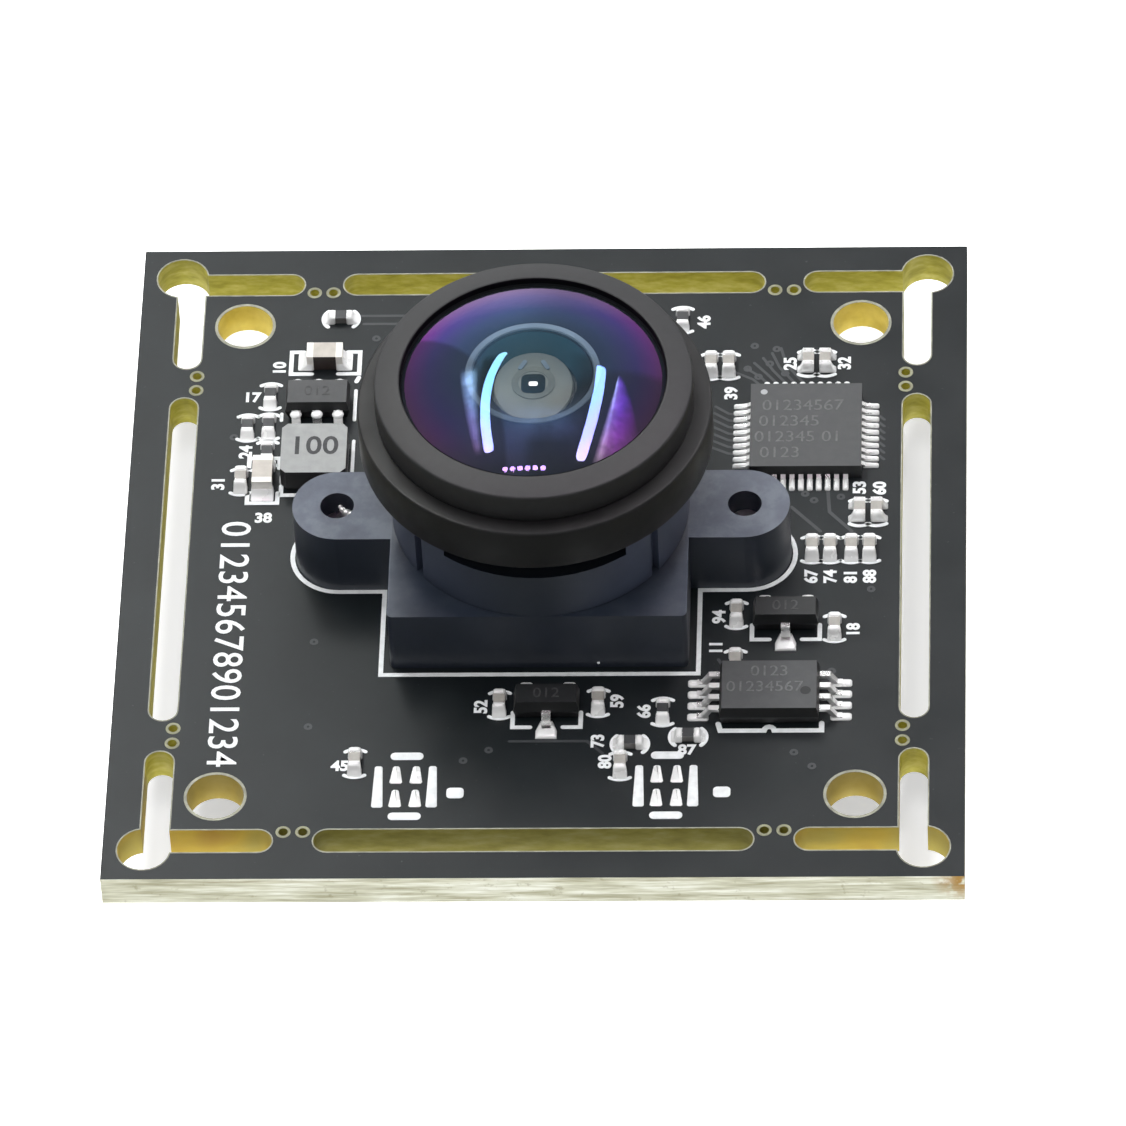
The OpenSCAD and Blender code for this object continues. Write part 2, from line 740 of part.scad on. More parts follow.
// The second element, domed before and hollow behind
module second_element() {
    color(GLASS) on_front() translate([0, 0, second_z]) difference() {
        union() {
            cylinder(d = second_d, h = second_edge);
            translate([0, 0, second_edge]) cap(second_outer_r, second_dome_r);
        }
        translate([0, 0, sag(second_hollow_r, second_hollow_d / 2) - second_hollow_r])
            sphere(r = second_hollow_r);
    }
}

// The spacer between the second and third elements
module middle_spacer() {
    color(LENS_BLACK) on_front() translate([0, 0, middle_spacer_z])
        ring(rear_d / 2, rear_d / 2 - spacer_wall, middle_spacer_h);
}

// The third element, flat behind
module third_element() {
    color(GLASS) on_front() translate([0, 0, third_z]) {
        cylinder(d = rear_d, h = third_edge);
        translate([0, 0, third_edge]) cap(third_outer_r, rear_dome_r);
    }
}

// The thin disc that sets the aperture
module aperture_stop() {
    color(LENS_BLACK) on_front() translate([0, 0, stop_z])
        ring(rear_d / 2, stop_d / 2, stop_t);
}

// The spacer between the stop and the doublet
module rear_spacer() {
    color(LENS_BLACK) on_front() translate([0, 0, rear_spacer_z])
        ring(rear_d / 2, rear_d / 2 - spacer_wall, rear_spacer_h);
}

// The doublet's front half, domed on both sides
module doublet_front() {
    color(GLASS) on_front() translate([0, 0, doublet_front_z]) {
        translate([0, 0, cement_t])
            cylinder(d = rear_d, h = doublet_front_edge - cement_t);
        translate([0, 0, doublet_front_edge]) cap(doublet_front_r, rear_dome_r);
        translate([0, 0, cement_t]) mirror([0, 0, 1]) cap(cement_r, cement_face_r);
    }
}

// The doublet's rear half, hollow where the front half is cemented in
module doublet_rear() {
    color(GLASS) on_front() translate([0, 0, doublet_rear_z]) difference() {
        union() {
            cylinder(d = rear_d, h = doublet_rear_edge);
            mirror([0, 0, 1]) cap(doublet_rear_r, rear_face_r);
        }
        translate([0, 0, doublet_rear_edge + cement_r - sag(cement_r, cement_face_r)])
            sphere(r = cement_r);
    }
}

// ---- chips ---------------------------------------------------------------

// The controller, a flat square chip with no leads of its own
module controller() {
    color(CHIP_BLACK) on_front() translate(controller_at)
        block(controller_w, controller_w, controller_t);
}

// The soldered terminals round the controller, each with a sloping fillet
module controller_terminals() {
    color(TIN) on_front() translate(controller_at)
        for (turn = [0:90:270], y = row(terminal_count, terminal_pitch))
            rotate([0, 0, turn]) translate([controller_w / 2, y + terminal_w / 2, 0])
                rotate([90, 0, 0]) linear_extrude(terminal_w) polygon([
                    [0, 0], [terminal_l, 0], [terminal_l, terminal_h / 3],
                    [terminal_l / 3, terminal_h / 2], [0, terminal_h]
                ]);
}

// The memory's moulded body
module memory_chip() {
    color(CHIP_BLACK) on_front() translate(memory_at) chip_body(memory_l, memory_w);
}

// The memory's eight leads
module memory_leads() {
    color(TIN) on_front() translate(memory_at)
        for (turn = [0, 180]) rotate([0, 0, turn])
            lead_row(memory_l / 2, row(4, memory_pitch), memory_lead_reach, memory_lead_w);
}

// A three-lead regulator's leads: one on its front side, two on its rear
module regulator_leads() {
    rotate([0, 0, -90]) lead_row(regulator_w / 2, [0], lead_reach, lead_w);
    rotate([0, 0, 90])
        lead_row(regulator_w / 2, row(2, 2 * regulator_pitch), lead_reach, lead_w);
}

// The regulator below the holder
module lower_regulator() {
    color(CHIP_BLACK) on_front() translate(lower_regulator_at)
        chip_body(regulator_l, regulator_w);
}

// Its leads
module lower_regulator_leads() {
    color(TIN) on_front() translate(lower_regulator_at) regulator_leads();
}

// The regulator beside the holder
module side_regulator() {
    color(CHIP_BLACK) on_front() translate(side_regulator_at)
        chip_body(regulator_l, regulator_w);
}

// Its leads
module side_regulator_leads() {
    color(TIN) on_front() translate(side_regulator_at) regulator_leads();
}

// The six-lead voltage converter
module converter() {
    color(CHIP_BLACK) on_front() translate(converter_at) chip_body(regulator_l, converter_w);
}

// Its leads, three on each side
module converter_leads() {
    color(TIN) on_front() translate(converter_at)
        for (turn = [-90, 90]) rotate([0, 0, turn])
            lead_row(converter_w / 2, row(3, regulator_pitch), lead_reach, lead_w);
}

// ---- passive parts -------------------------------------------------------

// The inductor's moulded core, with chamfered upright edges
module inductor() {
    half = inductor_w / 2;
    near = half - inductor_chamfer;
    color(GREY_CORE) on_front() translate([inductor_at[0], inductor_at[1], inductor_terminal_t])
        linear_extrude(inductor_h - inductor_terminal_t) polygon([
            [-half, -near], [-near, -half], [near, -half], [half, -near],
            [half, near], [near, half], [-near, half], [-half, near]
        ]);
}

// The inductor's two terminals under its ends
module inductor_terminals() {
    color(TIN) on_front() translate(inductor_at) for (x = [-1, 1])
        translate([x * (inductor_w - inductor_terminal_w) / 2, 0, 0])
            block(inductor_terminal_w, inductor_w - 2 * inductor_chamfer, inductor_terminal_t);
}

// The two large ceramic capacitors
module large_capacitors() {
    color(CREAM) on_front() at_each(large_caps_at)
        part_middle(large_cap_l, large_cap_w, large_cap_h, large_end_l);
}

// Their metal ends
module large_capacitor_ends() {
    color(TIN) on_front() at_each(large_caps_at)
        part_ends(large_cap_l, large_cap_w, large_cap_h, large_end_l);
}

// The small ceramic capacitors, on the front and on the back
module small_capacitors() {
    color(BROWN) {
        on_front() at_each(small_caps_at)
            part_middle(small_l, small_w, small_cap_h, small_end_l);
        on_back() at_each(back_caps_at)
            part_middle(small_l, small_w, small_cap_h, small_end_l);
    }
}

// Their metal ends
module small_capacitor_ends() {
    color(TIN) {
        on_front() at_each(small_caps_at)
            part_ends(small_l, small_w, small_cap_h, small_end_l);
        on_back() at_each(back_caps_at)
            part_ends(small_l, small_w, small_cap_h, small_end_l);
    }
}

// The chip resistors
module resistors() {
    color(CHIP_BLACK) on_front() at_each(resistors_at)
        part_middle(small_l, small_w, resistor_h, small_end_l);
}

// Their metal ends
module resistor_ends() {
    color(TIN) on_front() at_each(resistors_at)
        part_ends(small_l, small_w, resistor_h, small_end_l);
}

// ---- socket and crystal on the back --------------------------------------

// The moulded wire socket, open towards the board's edge
module socket_housing() {
    color(SOCKET_WHITE) on_back() difference() {
        translate([-socket_w / 2, -socket_mouth_y, 0]) cube([socket_w, socket_d, socket_h]);
        translate([-cavity_w / 2, -socket_mouth_y - cut, socket_skin])
            cube([cavity_w, cavity_d + cut, cavity_h]);
        for (x = row(contact_count, contact_pitch))
            translate([x - contact_w / 2, -socket_mouth_y, (socket_h - contact_t) / 2])
                cube([contact_w, socket_d + cut, contact_t]);
    }
}

// One bent contact: a pin in the opening, a leg behind the socket and a foot
module socket_contact() {
    pin_z = (socket_h - contact_t) / 2;
    pin_y = cavity_d / 4 - socket_mouth_y;
    leg_y = socket_back_y + contact_t;
    rotate([90, 0, 90]) translate([0, 0, -contact_w / 2]) linear_extrude(contact_w) polygon([
        [pin_y, pin_z], [socket_back_y, pin_z], [socket_back_y, 0],
        [leg_y + contact_t * 3, 0], [leg_y + contact_t * 3, contact_t],
        [leg_y, contact_t], [leg_y, pin_z + contact_t], [pin_y, pin_z + contact_t]
    ]);
}

// The row of contacts
module socket_contacts() {
    color(TIN) on_back() for (x = row(contact_count, contact_pitch))
        translate([x, 0, 0]) socket_contact();
}

// The two angled tabs that anchor the socket to the board
module socket_tabs() {
    color(TIN) on_back() for (side = [-1, 1])
        mirror([side < 0 ? 1 : 0, 0, 0])
            translate([socket_w / 2, socket_back_y - socket_d / 2, 0])
                rotate([90, 0, 0]) linear_extrude(tab_l, center = true) polygon([
                    [0, 0], [tab_foot, 0], [tab_foot, tab_t],
                    [tab_t, tab_t], [tab_t, tab_h], [0, tab_h]
                ]);
}

// The crystal's ceramic base
module crystal_base() {
    color(CERAMIC) on_back() translate(crystal_at) block(crystal_l, crystal_w, crystal_base_h);
}

// The crystal's metal lid
module crystal_lid() {
    color(STEEL) on_back() translate([crystal_at[0], crystal_at[1], crystal_base_h])
        block(crystal_l - 2 * crystal_margin, crystal_w - 2 * crystal_margin, crystal_lid_h);
}

board();
lens_holder();
holder_screws();
filter();
sensor_package();
sensor_glass();
lens_barrel();
front_ring();
front_element();
front_spacer();
second_element();
middle_spacer();
third_element();
aperture_stop();
rear_spacer();
doublet_front();
doublet_rear();
controller();
controller_terminals();
memory_chip();
memory_leads();
lower_regulator();
lower_regulator_leads();
side_regulator();
side_regulator_leads();
converter();
converter_leads();
inductor();
inductor_terminals();
large_capacitors();
large_capacitor_ends();
small_capacitors();
small_capacitor_ends();
resistors();
resistor_ends();
socket_housing();
socket_contacts();
socket_tabs();
crystal_base();
crystal_lid();
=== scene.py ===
"""Looks of a small board camera: finish of every part, solder, print, lens coating, light and camera.

Lengths are in millimetres until they reach Blender, which gets metres. Z is up, and the board's back
face is z = 0.
"""

import functools
import math

import bmesh
import bpy
from mathutils import Matrix, Vector


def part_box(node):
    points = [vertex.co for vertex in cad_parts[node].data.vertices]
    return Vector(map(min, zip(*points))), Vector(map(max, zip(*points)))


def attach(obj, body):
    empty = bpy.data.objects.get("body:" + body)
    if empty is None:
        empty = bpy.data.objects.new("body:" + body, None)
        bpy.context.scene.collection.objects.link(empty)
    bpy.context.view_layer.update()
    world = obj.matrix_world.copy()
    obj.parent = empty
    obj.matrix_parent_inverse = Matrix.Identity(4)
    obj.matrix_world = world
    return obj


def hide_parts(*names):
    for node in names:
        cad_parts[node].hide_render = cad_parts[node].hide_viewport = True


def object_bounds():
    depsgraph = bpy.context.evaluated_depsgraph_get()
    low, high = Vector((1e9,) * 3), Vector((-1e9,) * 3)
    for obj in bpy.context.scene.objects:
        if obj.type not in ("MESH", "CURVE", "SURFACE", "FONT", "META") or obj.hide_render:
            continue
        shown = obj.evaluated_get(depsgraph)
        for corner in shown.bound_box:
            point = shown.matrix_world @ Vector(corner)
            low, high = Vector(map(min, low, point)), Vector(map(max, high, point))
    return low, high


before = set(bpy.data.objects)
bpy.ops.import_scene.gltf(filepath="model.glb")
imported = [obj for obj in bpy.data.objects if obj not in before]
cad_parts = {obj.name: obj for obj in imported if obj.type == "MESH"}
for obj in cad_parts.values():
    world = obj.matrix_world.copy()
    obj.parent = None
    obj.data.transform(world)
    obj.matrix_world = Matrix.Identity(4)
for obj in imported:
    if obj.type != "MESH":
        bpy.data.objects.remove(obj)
cad_box = [list(corner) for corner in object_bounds()]

MM = 0.001
TAU = 2 * math.pi

# ---- sizes read from the frame, in millimetres ----------------------------


def node_box(name):
    """Lowest and highest corner of a CAD node in millimetres."""
    low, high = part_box(name)
    return low / MM, high / MM


def middle(name):
    """Centre of a CAD node's box in millimetres."""
    low, high = node_box(name)
    return (low + high) / 2


HALF_X, HALF_Y, TOP = node_box("board")[1]
BACK = 0.0
# holes and slots of the board
MOUNT = 14.0
MOUNT_R = 1.25
CORNER = 17.0
CORNER_R = 1.15
SLOT_LINE = 16.55
SLOT_W = 1.25
CORNER_SLOT_END = 11.4
MID_SLOT_END = 9.6
BITE_LINE = 16.05
BITE_STEP_X = 0.86
BITE_MID = (CORNER_SLOT_END + MID_SLOT_END) / 2
# print, solder and finishes
END_BEYOND = 0.30
SUNK = 0.01
INK = 0.012
BUMP_DEPTH = 0.01
GLOSS_SPREAD = 0.08
# lens holder
EAR_X = 9.05
EAR_R = 2.0
BASE = 6.6
BASE_H = 3.4
# lens
GLASS_R = 5.84
GLASS_EDGE_Z = node_box("front_element")[0].z + 1.2
DOME_R = 14.0
RIM_Z = TOP + 12.0
WELL_Z = TOP + 11.12
PUPIL_Z = WELL_Z + 0.30
# studio
LAMP_Z = 320.0
WHITE = (1.0, 1.0, 1.0)
NONE = (0.0, 0.0, 0.0)


def centre(low, high):
    """Middle of a box, seen from above."""
    return (low.x + high.x) / 2, (low.y + high.y) / 2


@functools.cache
def islands(name):
    """Boxes of the loose solids of a CAD node, in millimetres, worked out once."""
    bm = bmesh.new()
    bm.from_mesh(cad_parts[name].data)
    bmesh.ops.remove_doubles(bm, verts=bm.verts, dist=1e-6)
    left = set(bm.verts)
    boxes = []
    while left:
        seed = left.pop()
        group, queue = [seed], [seed]
        while queue:
            for edge in queue.pop().link_edges:
                for vert in edge.verts:
                    if vert in left:
                        left.remove(vert)
                        group.append(vert)
                        queue.append(vert)
        boxes.append([Vector([pick(v.co[i] for v in group) / MM for i in range(3)]) for pick in (min, max)])
    bm.free()
    return sorted(boxes, key=lambda box: (round(box[0].z, 2), round(box[0].x, 2), round(box[0].y, 2)))

# ---- mesh helpers ----------------------------------------------------------


def add_object(name, data):
    """A new object in the scene."""
    thing = bpy.data.objects.new(name, data)
    bpy.context.scene.collection.objects.link(thing)
    return thing


def mesh_object(name, bm, material, scale=MM):
    """A new object made from a bmesh, which is used up."""
    bmesh.ops.scale(bm, vec=(scale,) * 3, verts=bm.verts)
    mesh = bpy.data.meshes.new(name)
    bm.to_mesh(mesh)
    bm.free()
    mesh.materials.append(material)
    return add_object(name, mesh)


def finish_mesh(name, bm, material, smooth_angle=35.0, replaces=()):
    """Makes a piece from a bmesh in millimetres and ties it to the part."""
    bmesh.ops.recalc_face_normals(bm, faces=bm.faces)
    piece = mesh_object(name, bm, material)
    for face in piece.data.polygons:
        face.use_smooth = True
    piece.data.set_sharp_from_angle(angle=math.radians(smooth_angle))
    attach(piece, "root")
    if replaces:
        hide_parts(*replaces)
    return piece


def printed(name, bm, smooth_angle=35.0):
    """A piece of white print."""
    finish_mesh(name, bm, SILK, smooth_angle)


def soldered(name, bm):
    """A piece of bright solder."""
    finish_mesh(name, bm, BRIGHT_TIN, 50)


def arc(cx, cy, r, start, end, steps):
    """Points on an arc, with its angles in degrees."""
    turns = [math.radians(start + (end - start) * i / steps) for i in range(steps + 1)]
    return [(cx + r * math.cos(t), cy + r * math.sin(t)) for t in turns]


def rounded_rect(w, d, r, steps=4):
    """Outline of a rectangle with round corners, centred on zero."""
    r = min(r, w / 2 - 1e-4, d / 2 - 1e-4)
    x, y = w / 2 - r, d / 2 - r
    return (
        arc(x, y, r, 0, 90, steps)
        + arc(-x, y, r, 90, 180, steps)
        + arc(-x, -y, r, 180, 270, steps)
        + arc(x, -y, r, 270, 360, steps)
    )


def place(outline, x, y, turn=0.0):
    """An outline turned by an angle in degrees and moved."""
    c, s = math.cos(math.radians(turn)), math.sin(math.radians(turn))
    return [(x + c * px - s * py, y + s * px + c * py) for px, py in outline]


def both_halves(right):
    """An outline from its right half, which runs upwards, and the mirror image of that."""
    left = [(-x, y) for x, y in reversed(right)]
    return left[-1:] + right + left[:-1]


def skin(bm, rings):
    """Joins closed rings of 3D points, all of one length, into a solid."""
    rows = [[bm.verts.new(p) for p in ring] for ring in rings]
    for low, high in zip(rows, rows[1:]):
        for i in range(len(low)):
            j = (i + 1) % len(low)
            bm.faces.new((low[i], low[j], high[j], high[i]))
    bm.faces.new(list(reversed(rows[0])))
    bm.faces.new(rows[-1])


def slab(bm, outline, low, high):
    """A flat solid between two heights."""
    skin(bm, [[(x, y, z) for x, y in outline] for z in (low, high)])


def mound(bm, x, y, w, d, h, r=None, crown=0.35):
    """Solder or print on the board: a low mound over a rounded rectangle."""
    base = rounded_rect(w, d, min(w, d) * 0.3 if r is None else r)
    rings = []
    for part, lift in ((0.0, -SUNK / h), (0.0, 0.25), (0.35, 0.72), (0.75, 0.95), (1.0, 1.0)):
        inset = part * crown * min(w, d)
        fx, fy = (max(0.02, 1 - 2 * inset / side) for side in (w, d))
        rings.append([(x + px * fx, y + py * fy, TOP + lift * h) for px, py in base])
    skin(bm, rings)


def wrap(bm, rows):
    """Joins rows of vertices into a surface that closes both ways."""
    for a, b in zip(rows, rows[1:] + rows[:1]):
        for i in range(len(a)):
            j = (i + 1) % len(a)
            bm.faces.new((a[i], b[i], b[j], a[j]))


def offset_sides(points, half, closed):
    """Both edges of a line of even width, with mitred corners."""
    left, right = [], []
    last = len(points) - 1
    for i, p in enumerate(points):
        before = (p - points[i - 1]).normalized() if closed or i > 0 else None
        after = (points[(i + 1) % len(points)] - p).normalized() if closed or i < last else None
        before, after = before or after, after or before
        along = (before + after).normalized()
        across = Vector((-along.y, along.x)) * half / max(0.3, along.dot(before))
        left.append(p + across)
        right.append(p - across)
    return left, right


def ribbon(bm, points, width, z0, z1, closed=False):
    """A printed line of even width along a path, with round ends unless it is closed."""
    pts = [Vector(p) for p in points]
    left, right = offset_sides(pts, width / 2, closed)
    if closed:
        edges = ((left, z0), (left, z1), (right, z1), (right, z0))
        wrap(bm, [[bm.verts.new((p.x, p.y, z)) for p in side] for side, z in edges])
        return
    outline = []
    for side, tip, inner in ((right, pts[-1], pts[-2]), (reversed(left), pts[0], pts[1])):
        outline += [tuple(p) for p in side]
        ahead = math.degrees(math.atan2(tip.y - inner.y, tip.x - inner.x))
        outline += arc(tip.x, tip.y, width / 2, ahead - 90, ahead + 90, 6)[1:-1]
    slab(bm, outline, z0, z1)


def spun(bm, profile, steps):
    """Rows of vertices: the profile's points turned to each place about the lens axis."""
    turns = [TAU * k / steps for k in range(steps)]
    return [[bm.verts.new((r * math.cos(t), r * math.sin(t), z)) for r, z in profile] for t in turns]


def lathe(bm, profile, steps):
    """Turns a closed profile of (radius, height) points about the lens axis."""
    wrap(bm, spun(bm, profile, steps))


def lathe_cap(bm, profile, steps):
    """Turns a profile whose first and last points lie on the axis."""
    first, last = (bm.verts.new((0, 0, profile[end][1])) for end in (0, -1))
    rows = spun(bm, profile[1:-1], steps)
    for a, b in zip(rows, rows[1:] + rows[:1]):
        bm.faces.new((first, b[0], a[0]))
        for i in range(len(a) - 1):
            bm.faces.new((a[i], b[i], b[i + 1], a[i + 1]))
        bm.faces.new((a[-1], b[-1], last))


def turned(name, profile, material, steps, smooth_angle, spin=lathe, replaces=()):
    """A piece made by turning a profile about the lens axis."""
    bm = bmesh.new()
    spin(bm, profile, steps)
    return finish_mesh(name, bm, material, smooth_angle, replaces)


def soften(profile, radius, steps=3):
    """Rounds the corners of a closed profile by a small radius."""
    result = []
    n = len(profile)
    for i in range(n):
        p, q, r = (Vector(profile[k % n]) for k in (i - 1, i, i + 1))
        a, b = (p - q), (r - q)
        cut = min(radius, a.length * 0.45, b.length * 0.45)
        start, end = q + a.normalized() * cut, q + b.normalized() * cut
        for k in range(steps + 1):
            t = k / steps
            point = start * (1 - t) ** 2 + q * 2 * t * (1 - t) + end * t**2
            result.append(tuple(point))
    return result


def dome(radius, rim, z, steps):
    """Points over a spherical face from its apex to its rim, which lies at height z."""
    drop = radius - math.sqrt(radius**2 - rim**2)
    points = []
    for i in range(steps + 1):
        r = rim * i / steps
        points.append((r, z + drop - (radius - math.sqrt(radius**2 - r**2))))
    return points


def digits(bm, text, x, y, z, size, turn=0.0, spacing=1.0, weight=0.0):
    """Adds plain printed numbers, in metres, that lie on a face that looks up."""
    curve = bpy.data.curves.new("digits", "FONT")
    curve.body = text
    curve.size = size * MM
    curve.align_x = "CENTER"
    curve.align_y = "CENTER"
    curve.extrude = INK * MM / 2
    curve.space_character = spacing
    curve.offset = weight * MM
    curve.resolution_u = 4
    flat = add_object("digits", curve)
    bpy.context.view_layer.update()
    mesh = bpy.data.meshes.new_from_object(flat.evaluated_get(bpy.context.evaluated_depsgraph_get()))
    bpy.data.objects.remove(flat)
    spin = Matrix.Rotation(math.radians(turn), 4, "Z")
    mesh.transform(Matrix.Translation(Vector((x, y, z + INK / 2)) * MM) @ spin)
    bm.from_mesh(mesh)


def number_piece(name, bm, material):
    """Makes a piece of the digits that were added to a bmesh."""
    piece = mesh_object(name, bm, material, 1.0)
    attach(piece, "root")


# ---- materials -------------------------------------------------------------


class Nodes:
    """A node tree of a material or of the world, with short ways to add and join nodes."""

    def __init__(self, owner, coords="Object"):
        owner.use_nodes = True
        self.owner = owner
        self.tree = owner.node_tree
        self.shader = self.tree.nodes.get("Principled BSDF") or self.tree.nodes["Background"]
        source = self.add("ShaderNodeTexCoord")
        self.coords = source.outputs[coords]
        self.normals = source.outputs["Normal"]

    def add(self, kind, inputs=(), **settings):
        """A new node, with its settings and then its inputs, by name or number."""
        node = self.tree.nodes.new(kind)
        for key, value in settings.items():
            setattr(node, key, value)
        for key, value in dict(inputs).items():
            self.put(node.inputs[key], value)
        return node

    def put(self, socket, value):
        """Sets a socket to a constant or joins it to another socket."""
        if isinstance(value, bpy.types.NodeSocket):
            self.tree.links.new(value, socket)
        elif socket.type == "RGBA":
            socket.default_value = (*value, 1.0)
        else:
            socket.default_value = value

    def set(self, **sockets):
        """Sets the shader's own sockets."""
        for name, value in sockets.items():
            self.put(self.shader.inputs[name.replace("_", " ")], value)

    def math(self, operation, *values):
        return self.add("ShaderNodeMath", enumerate(values), operation=operation).outputs[0]

    def distance(self, x, y):
        """Length of a flat vector."""
        return self.math("SQRT", self.math("ADD", self.math("MULTIPLY", x, x), self.math("MULTIPLY", y, y)))

    def split(self, vector=None):
        """X, Y and Z of a vector, or of the place on the object."""
        return self.add("ShaderNodeSeparateXYZ", {0: vector or self.coords}).outputs[:3]

    def stretch(self, *scale):
        """The place on the object, scaled along each axis."""
        return self.add("ShaderNodeMapping", {"Vector": self.coords, "Scale": scale}).outputs[0]

    def noise(self, scale, detail=3.0, roughness=0.55, coords=None):
        inputs = {"Vector": coords or self.coords, "Scale": scale, "Detail": detail, "Roughness": roughness}
        return self.add("ShaderNodeTexNoise", inputs).outputs["Fac"]

    def ramp(self, factor, stops):
        """A colour that runs through stops of position and colour."""
        node = self.add("ShaderNodeValToRGB", {"Fac": factor})
        while len(node.color_ramp.elements) < len(stops):
            node.color_ramp.elements.new(0.5)
        for element, (position, colour) in zip(node.color_ramp.elements, stops):
            element.position = position
            element.color = (*colour, 1.0)
        return node.outputs["Color"]

    def mix(self, factor, a, b, blend="MIX"):
        inputs = {0: factor, 6: a, 7: b}
        return self.add("ShaderNodeMix", inputs, data_type="RGBA", blend_type=blend).outputs[2]

    def remap(self, *numbers, kind="LINEAR"):
        """A value, its range from and to, and the range that it is carried to."""
        return self.add("ShaderNodeMapRange", enumerate(numbers), interpolation_type=kind).outputs[0]

    def bump(self, height, strength):
        inputs = {"Height": height, "Strength": strength, "Distance": BUMP_DEPTH * MM}
        self.set(Normal=self.add("ShaderNodeBump", inputs).outputs["Normal"])


def material_nodes(name):
    """The node tree of a new material."""
    return Nodes(bpy.data.materials.new(name))


def scaled(colour, k):
    return tuple(min(1.0, c * k) for c in colour)


def plain(name, colour, roughness, metallic=0.0, mottling=0.1, grain=1500, bump=0.0, bump_grain=9000, **more):
    """A finish of one colour with fine mottling, uneven gloss and a grain."""
    n = material_nodes(name)
    tones = ((0.3, scaled(colour, 1 - mottling)), (0.7, scaled(colour, 1 + mottling)))
    n.set(Base_Color=n.ramp(n.noise(grain, 4), tones))
    gloss = n.remap(n.noise(grain * 0.6), 0.3, 0.7, roughness - GLOSS_SPREAD, roughness + GLOSS_SPREAD)
    n.set(Roughness=gloss, Metallic=metallic, **more)
    if bump:
        n.bump(n.noise(bump_grain), bump)
    return n.owner


def board_material():
    """Dark solder mask above and below, bare glass-fibre laminate round every edge and hole, with painted
    shade and light on the front walls.
    """
    n = material_nodes("solder_mask")
    flat = n.math("GREATER_THAN", n.math("ABSOLUTE", n.split(n.normals)[2]), 0.5)
    x, y, _ = n.split()
    ax = n.math("ABSOLUTE", x)
    ay = n.math("ABSOLUTE", y)
    outer = n.math("MAXIMUM", n.math("GREATER_THAN", ax, (HALF_X - 0.05) * MM),
                   n.math("GREATER_THAN", ay, (HALF_Y - 0.05) * MM))
    near_x = n.math("SUBTRACT", ax, MOUNT * MM)
    near_y = n.math("SUBTRACT", ay, MOUNT * MM)
    drilled = n.math("LESS_THAN", n.distance(near_x, near_y), 1.6 * MM)

    mask = n.ramp(n.noise(260, 5, 0.6), ((0.3, (0.006, 0.0085, 0.010)), (0.7, (0.010, 0.0135, 0.0155))))
    dust = n.ramp(n.noise(5200, 2, 0.5), ((0.73, NONE), (0.80, WHITE)))
    mask = n.mix(n.math("MULTIPLY", dust, 0.22), mask, (0.14, 0.145, 0.15))

    weave = n.noise(1.0, 3, 0.6, n.stretch(350, 350, 5200))
    fibre = n.ramp(weave, ((0.34, (0.34, 0.33, 0.22)), (0.52, (0.55, 0.55, 0.42)),
                           (0.68, (0.74, 0.75, 0.66))))
    specks = n.ramp(n.noise(1900, 3, 0.6), ((0.62, NONE), (0.72, WHITE)))
    fibre = n.mix(n.math("MULTIPLY", specks, 0.55), fibre, (0.24, 0.22, 0.12))
    stained = (HALF_X * MM, -HALF_Y * MM, (TOP - 0.25) * MM)
    away = n.add("ShaderNodeVectorMath", {0: n.coords, 1: stained}, operation="DISTANCE").outputs["Value"]
    stain = n.remap(away, 0.35 * MM, 1.5 * MM, 1.0, 0.0)
    stain = n.math("MULTIPLY", stain, n.remap(n.noise(1500), 0.40, 0.52, 0.0, 1.0))
    fibre = n.mix(stain, fibre, (0.36, 0.20, 0.035))

    routed = n.ramp(n.noise(1.0, 3, 0.6, n.stretch(900, 900, 2600)),
                    ((0.3, (0.38, 0.34, 0.045)), (0.5, (0.52, 0.48, 0.085)), (0.72, (0.66, 0.61, 0.20))))
    bored = n.ramp(n.noise(900), ((0.3, (0.72, 0.58, 0.10)), (0.7, (0.92, 0.78, 0.20))))
    # Painted shade: the walls of the slots and holes near the front edge are darkened.
    front = n.math("LESS_THAN", y, -12.4 * MM)
    corner = n.math("MULTIPLY", front, n.math("GREATER_THAN", ax, 11.3 * MM))
    routed = n.mix(n.math("MULTIPLY", front, 0.62), routed, (0.10, 0.085, 0.02))
    # Painted light: the walls of the front corner slots are painted a brighter tawny.
    lit_corner_tawny = n.ramp(n.noise(260, 2),
                   ((0.35, (0.50, 0.42, 0.09)), (0.5, (0.62, 0.45, 0.05)), (0.65, (0.42, 0.22, 0.03))))
    routed = n.mix(n.math("MULTIPLY", corner, 0.8), routed, lit_corner_tawny)
    bored = n.mix(n.math("MULTIPLY", front, 0.6), bored, (0.22, 0.15, 0.04))
    wall = n.mix(drilled, routed, bored)
    side = n.mix(outer, wall, fibre)
    n.set(Base_Color=n.mix(flat, side, mask))
    n.set(Roughness=n.remap(n.noise(420), 0.3, 0.7, 0.28, 0.37), Specular_IOR_Level=0.42)
    n.bump(n.noise(2600, 4, 0.6), 0.12)
    return n.owner


def film_material(name, stops, radius, alpha):
    """Coated glass: a thin coloured mirror.

    Its hue runs with the distance from the axis and the slant of sight.
    """
    n = material_nodes(name)
    x, y, _ = n.split()
    hue = n.ramp(n.math("DIVIDE", n.distance(x, y), radius * MM), stops)
    slant = n.add("ShaderNodeLayerWeight").outputs["Facing"]
    hue = n.mix(n.remap(slant, 0.03, 0.17, 1.0, 0.0), hue, (0.20, 0.36, 0.60))
    hue = n.mix(n.remap(slant, 0.46, 0.68, 0.0, 1.0), hue, (0.86, 0.80, 1.0))
    n.set(Base_Color=hue, Metallic=1.0, Roughness=0.015, Alpha=alpha)
    return n.owner


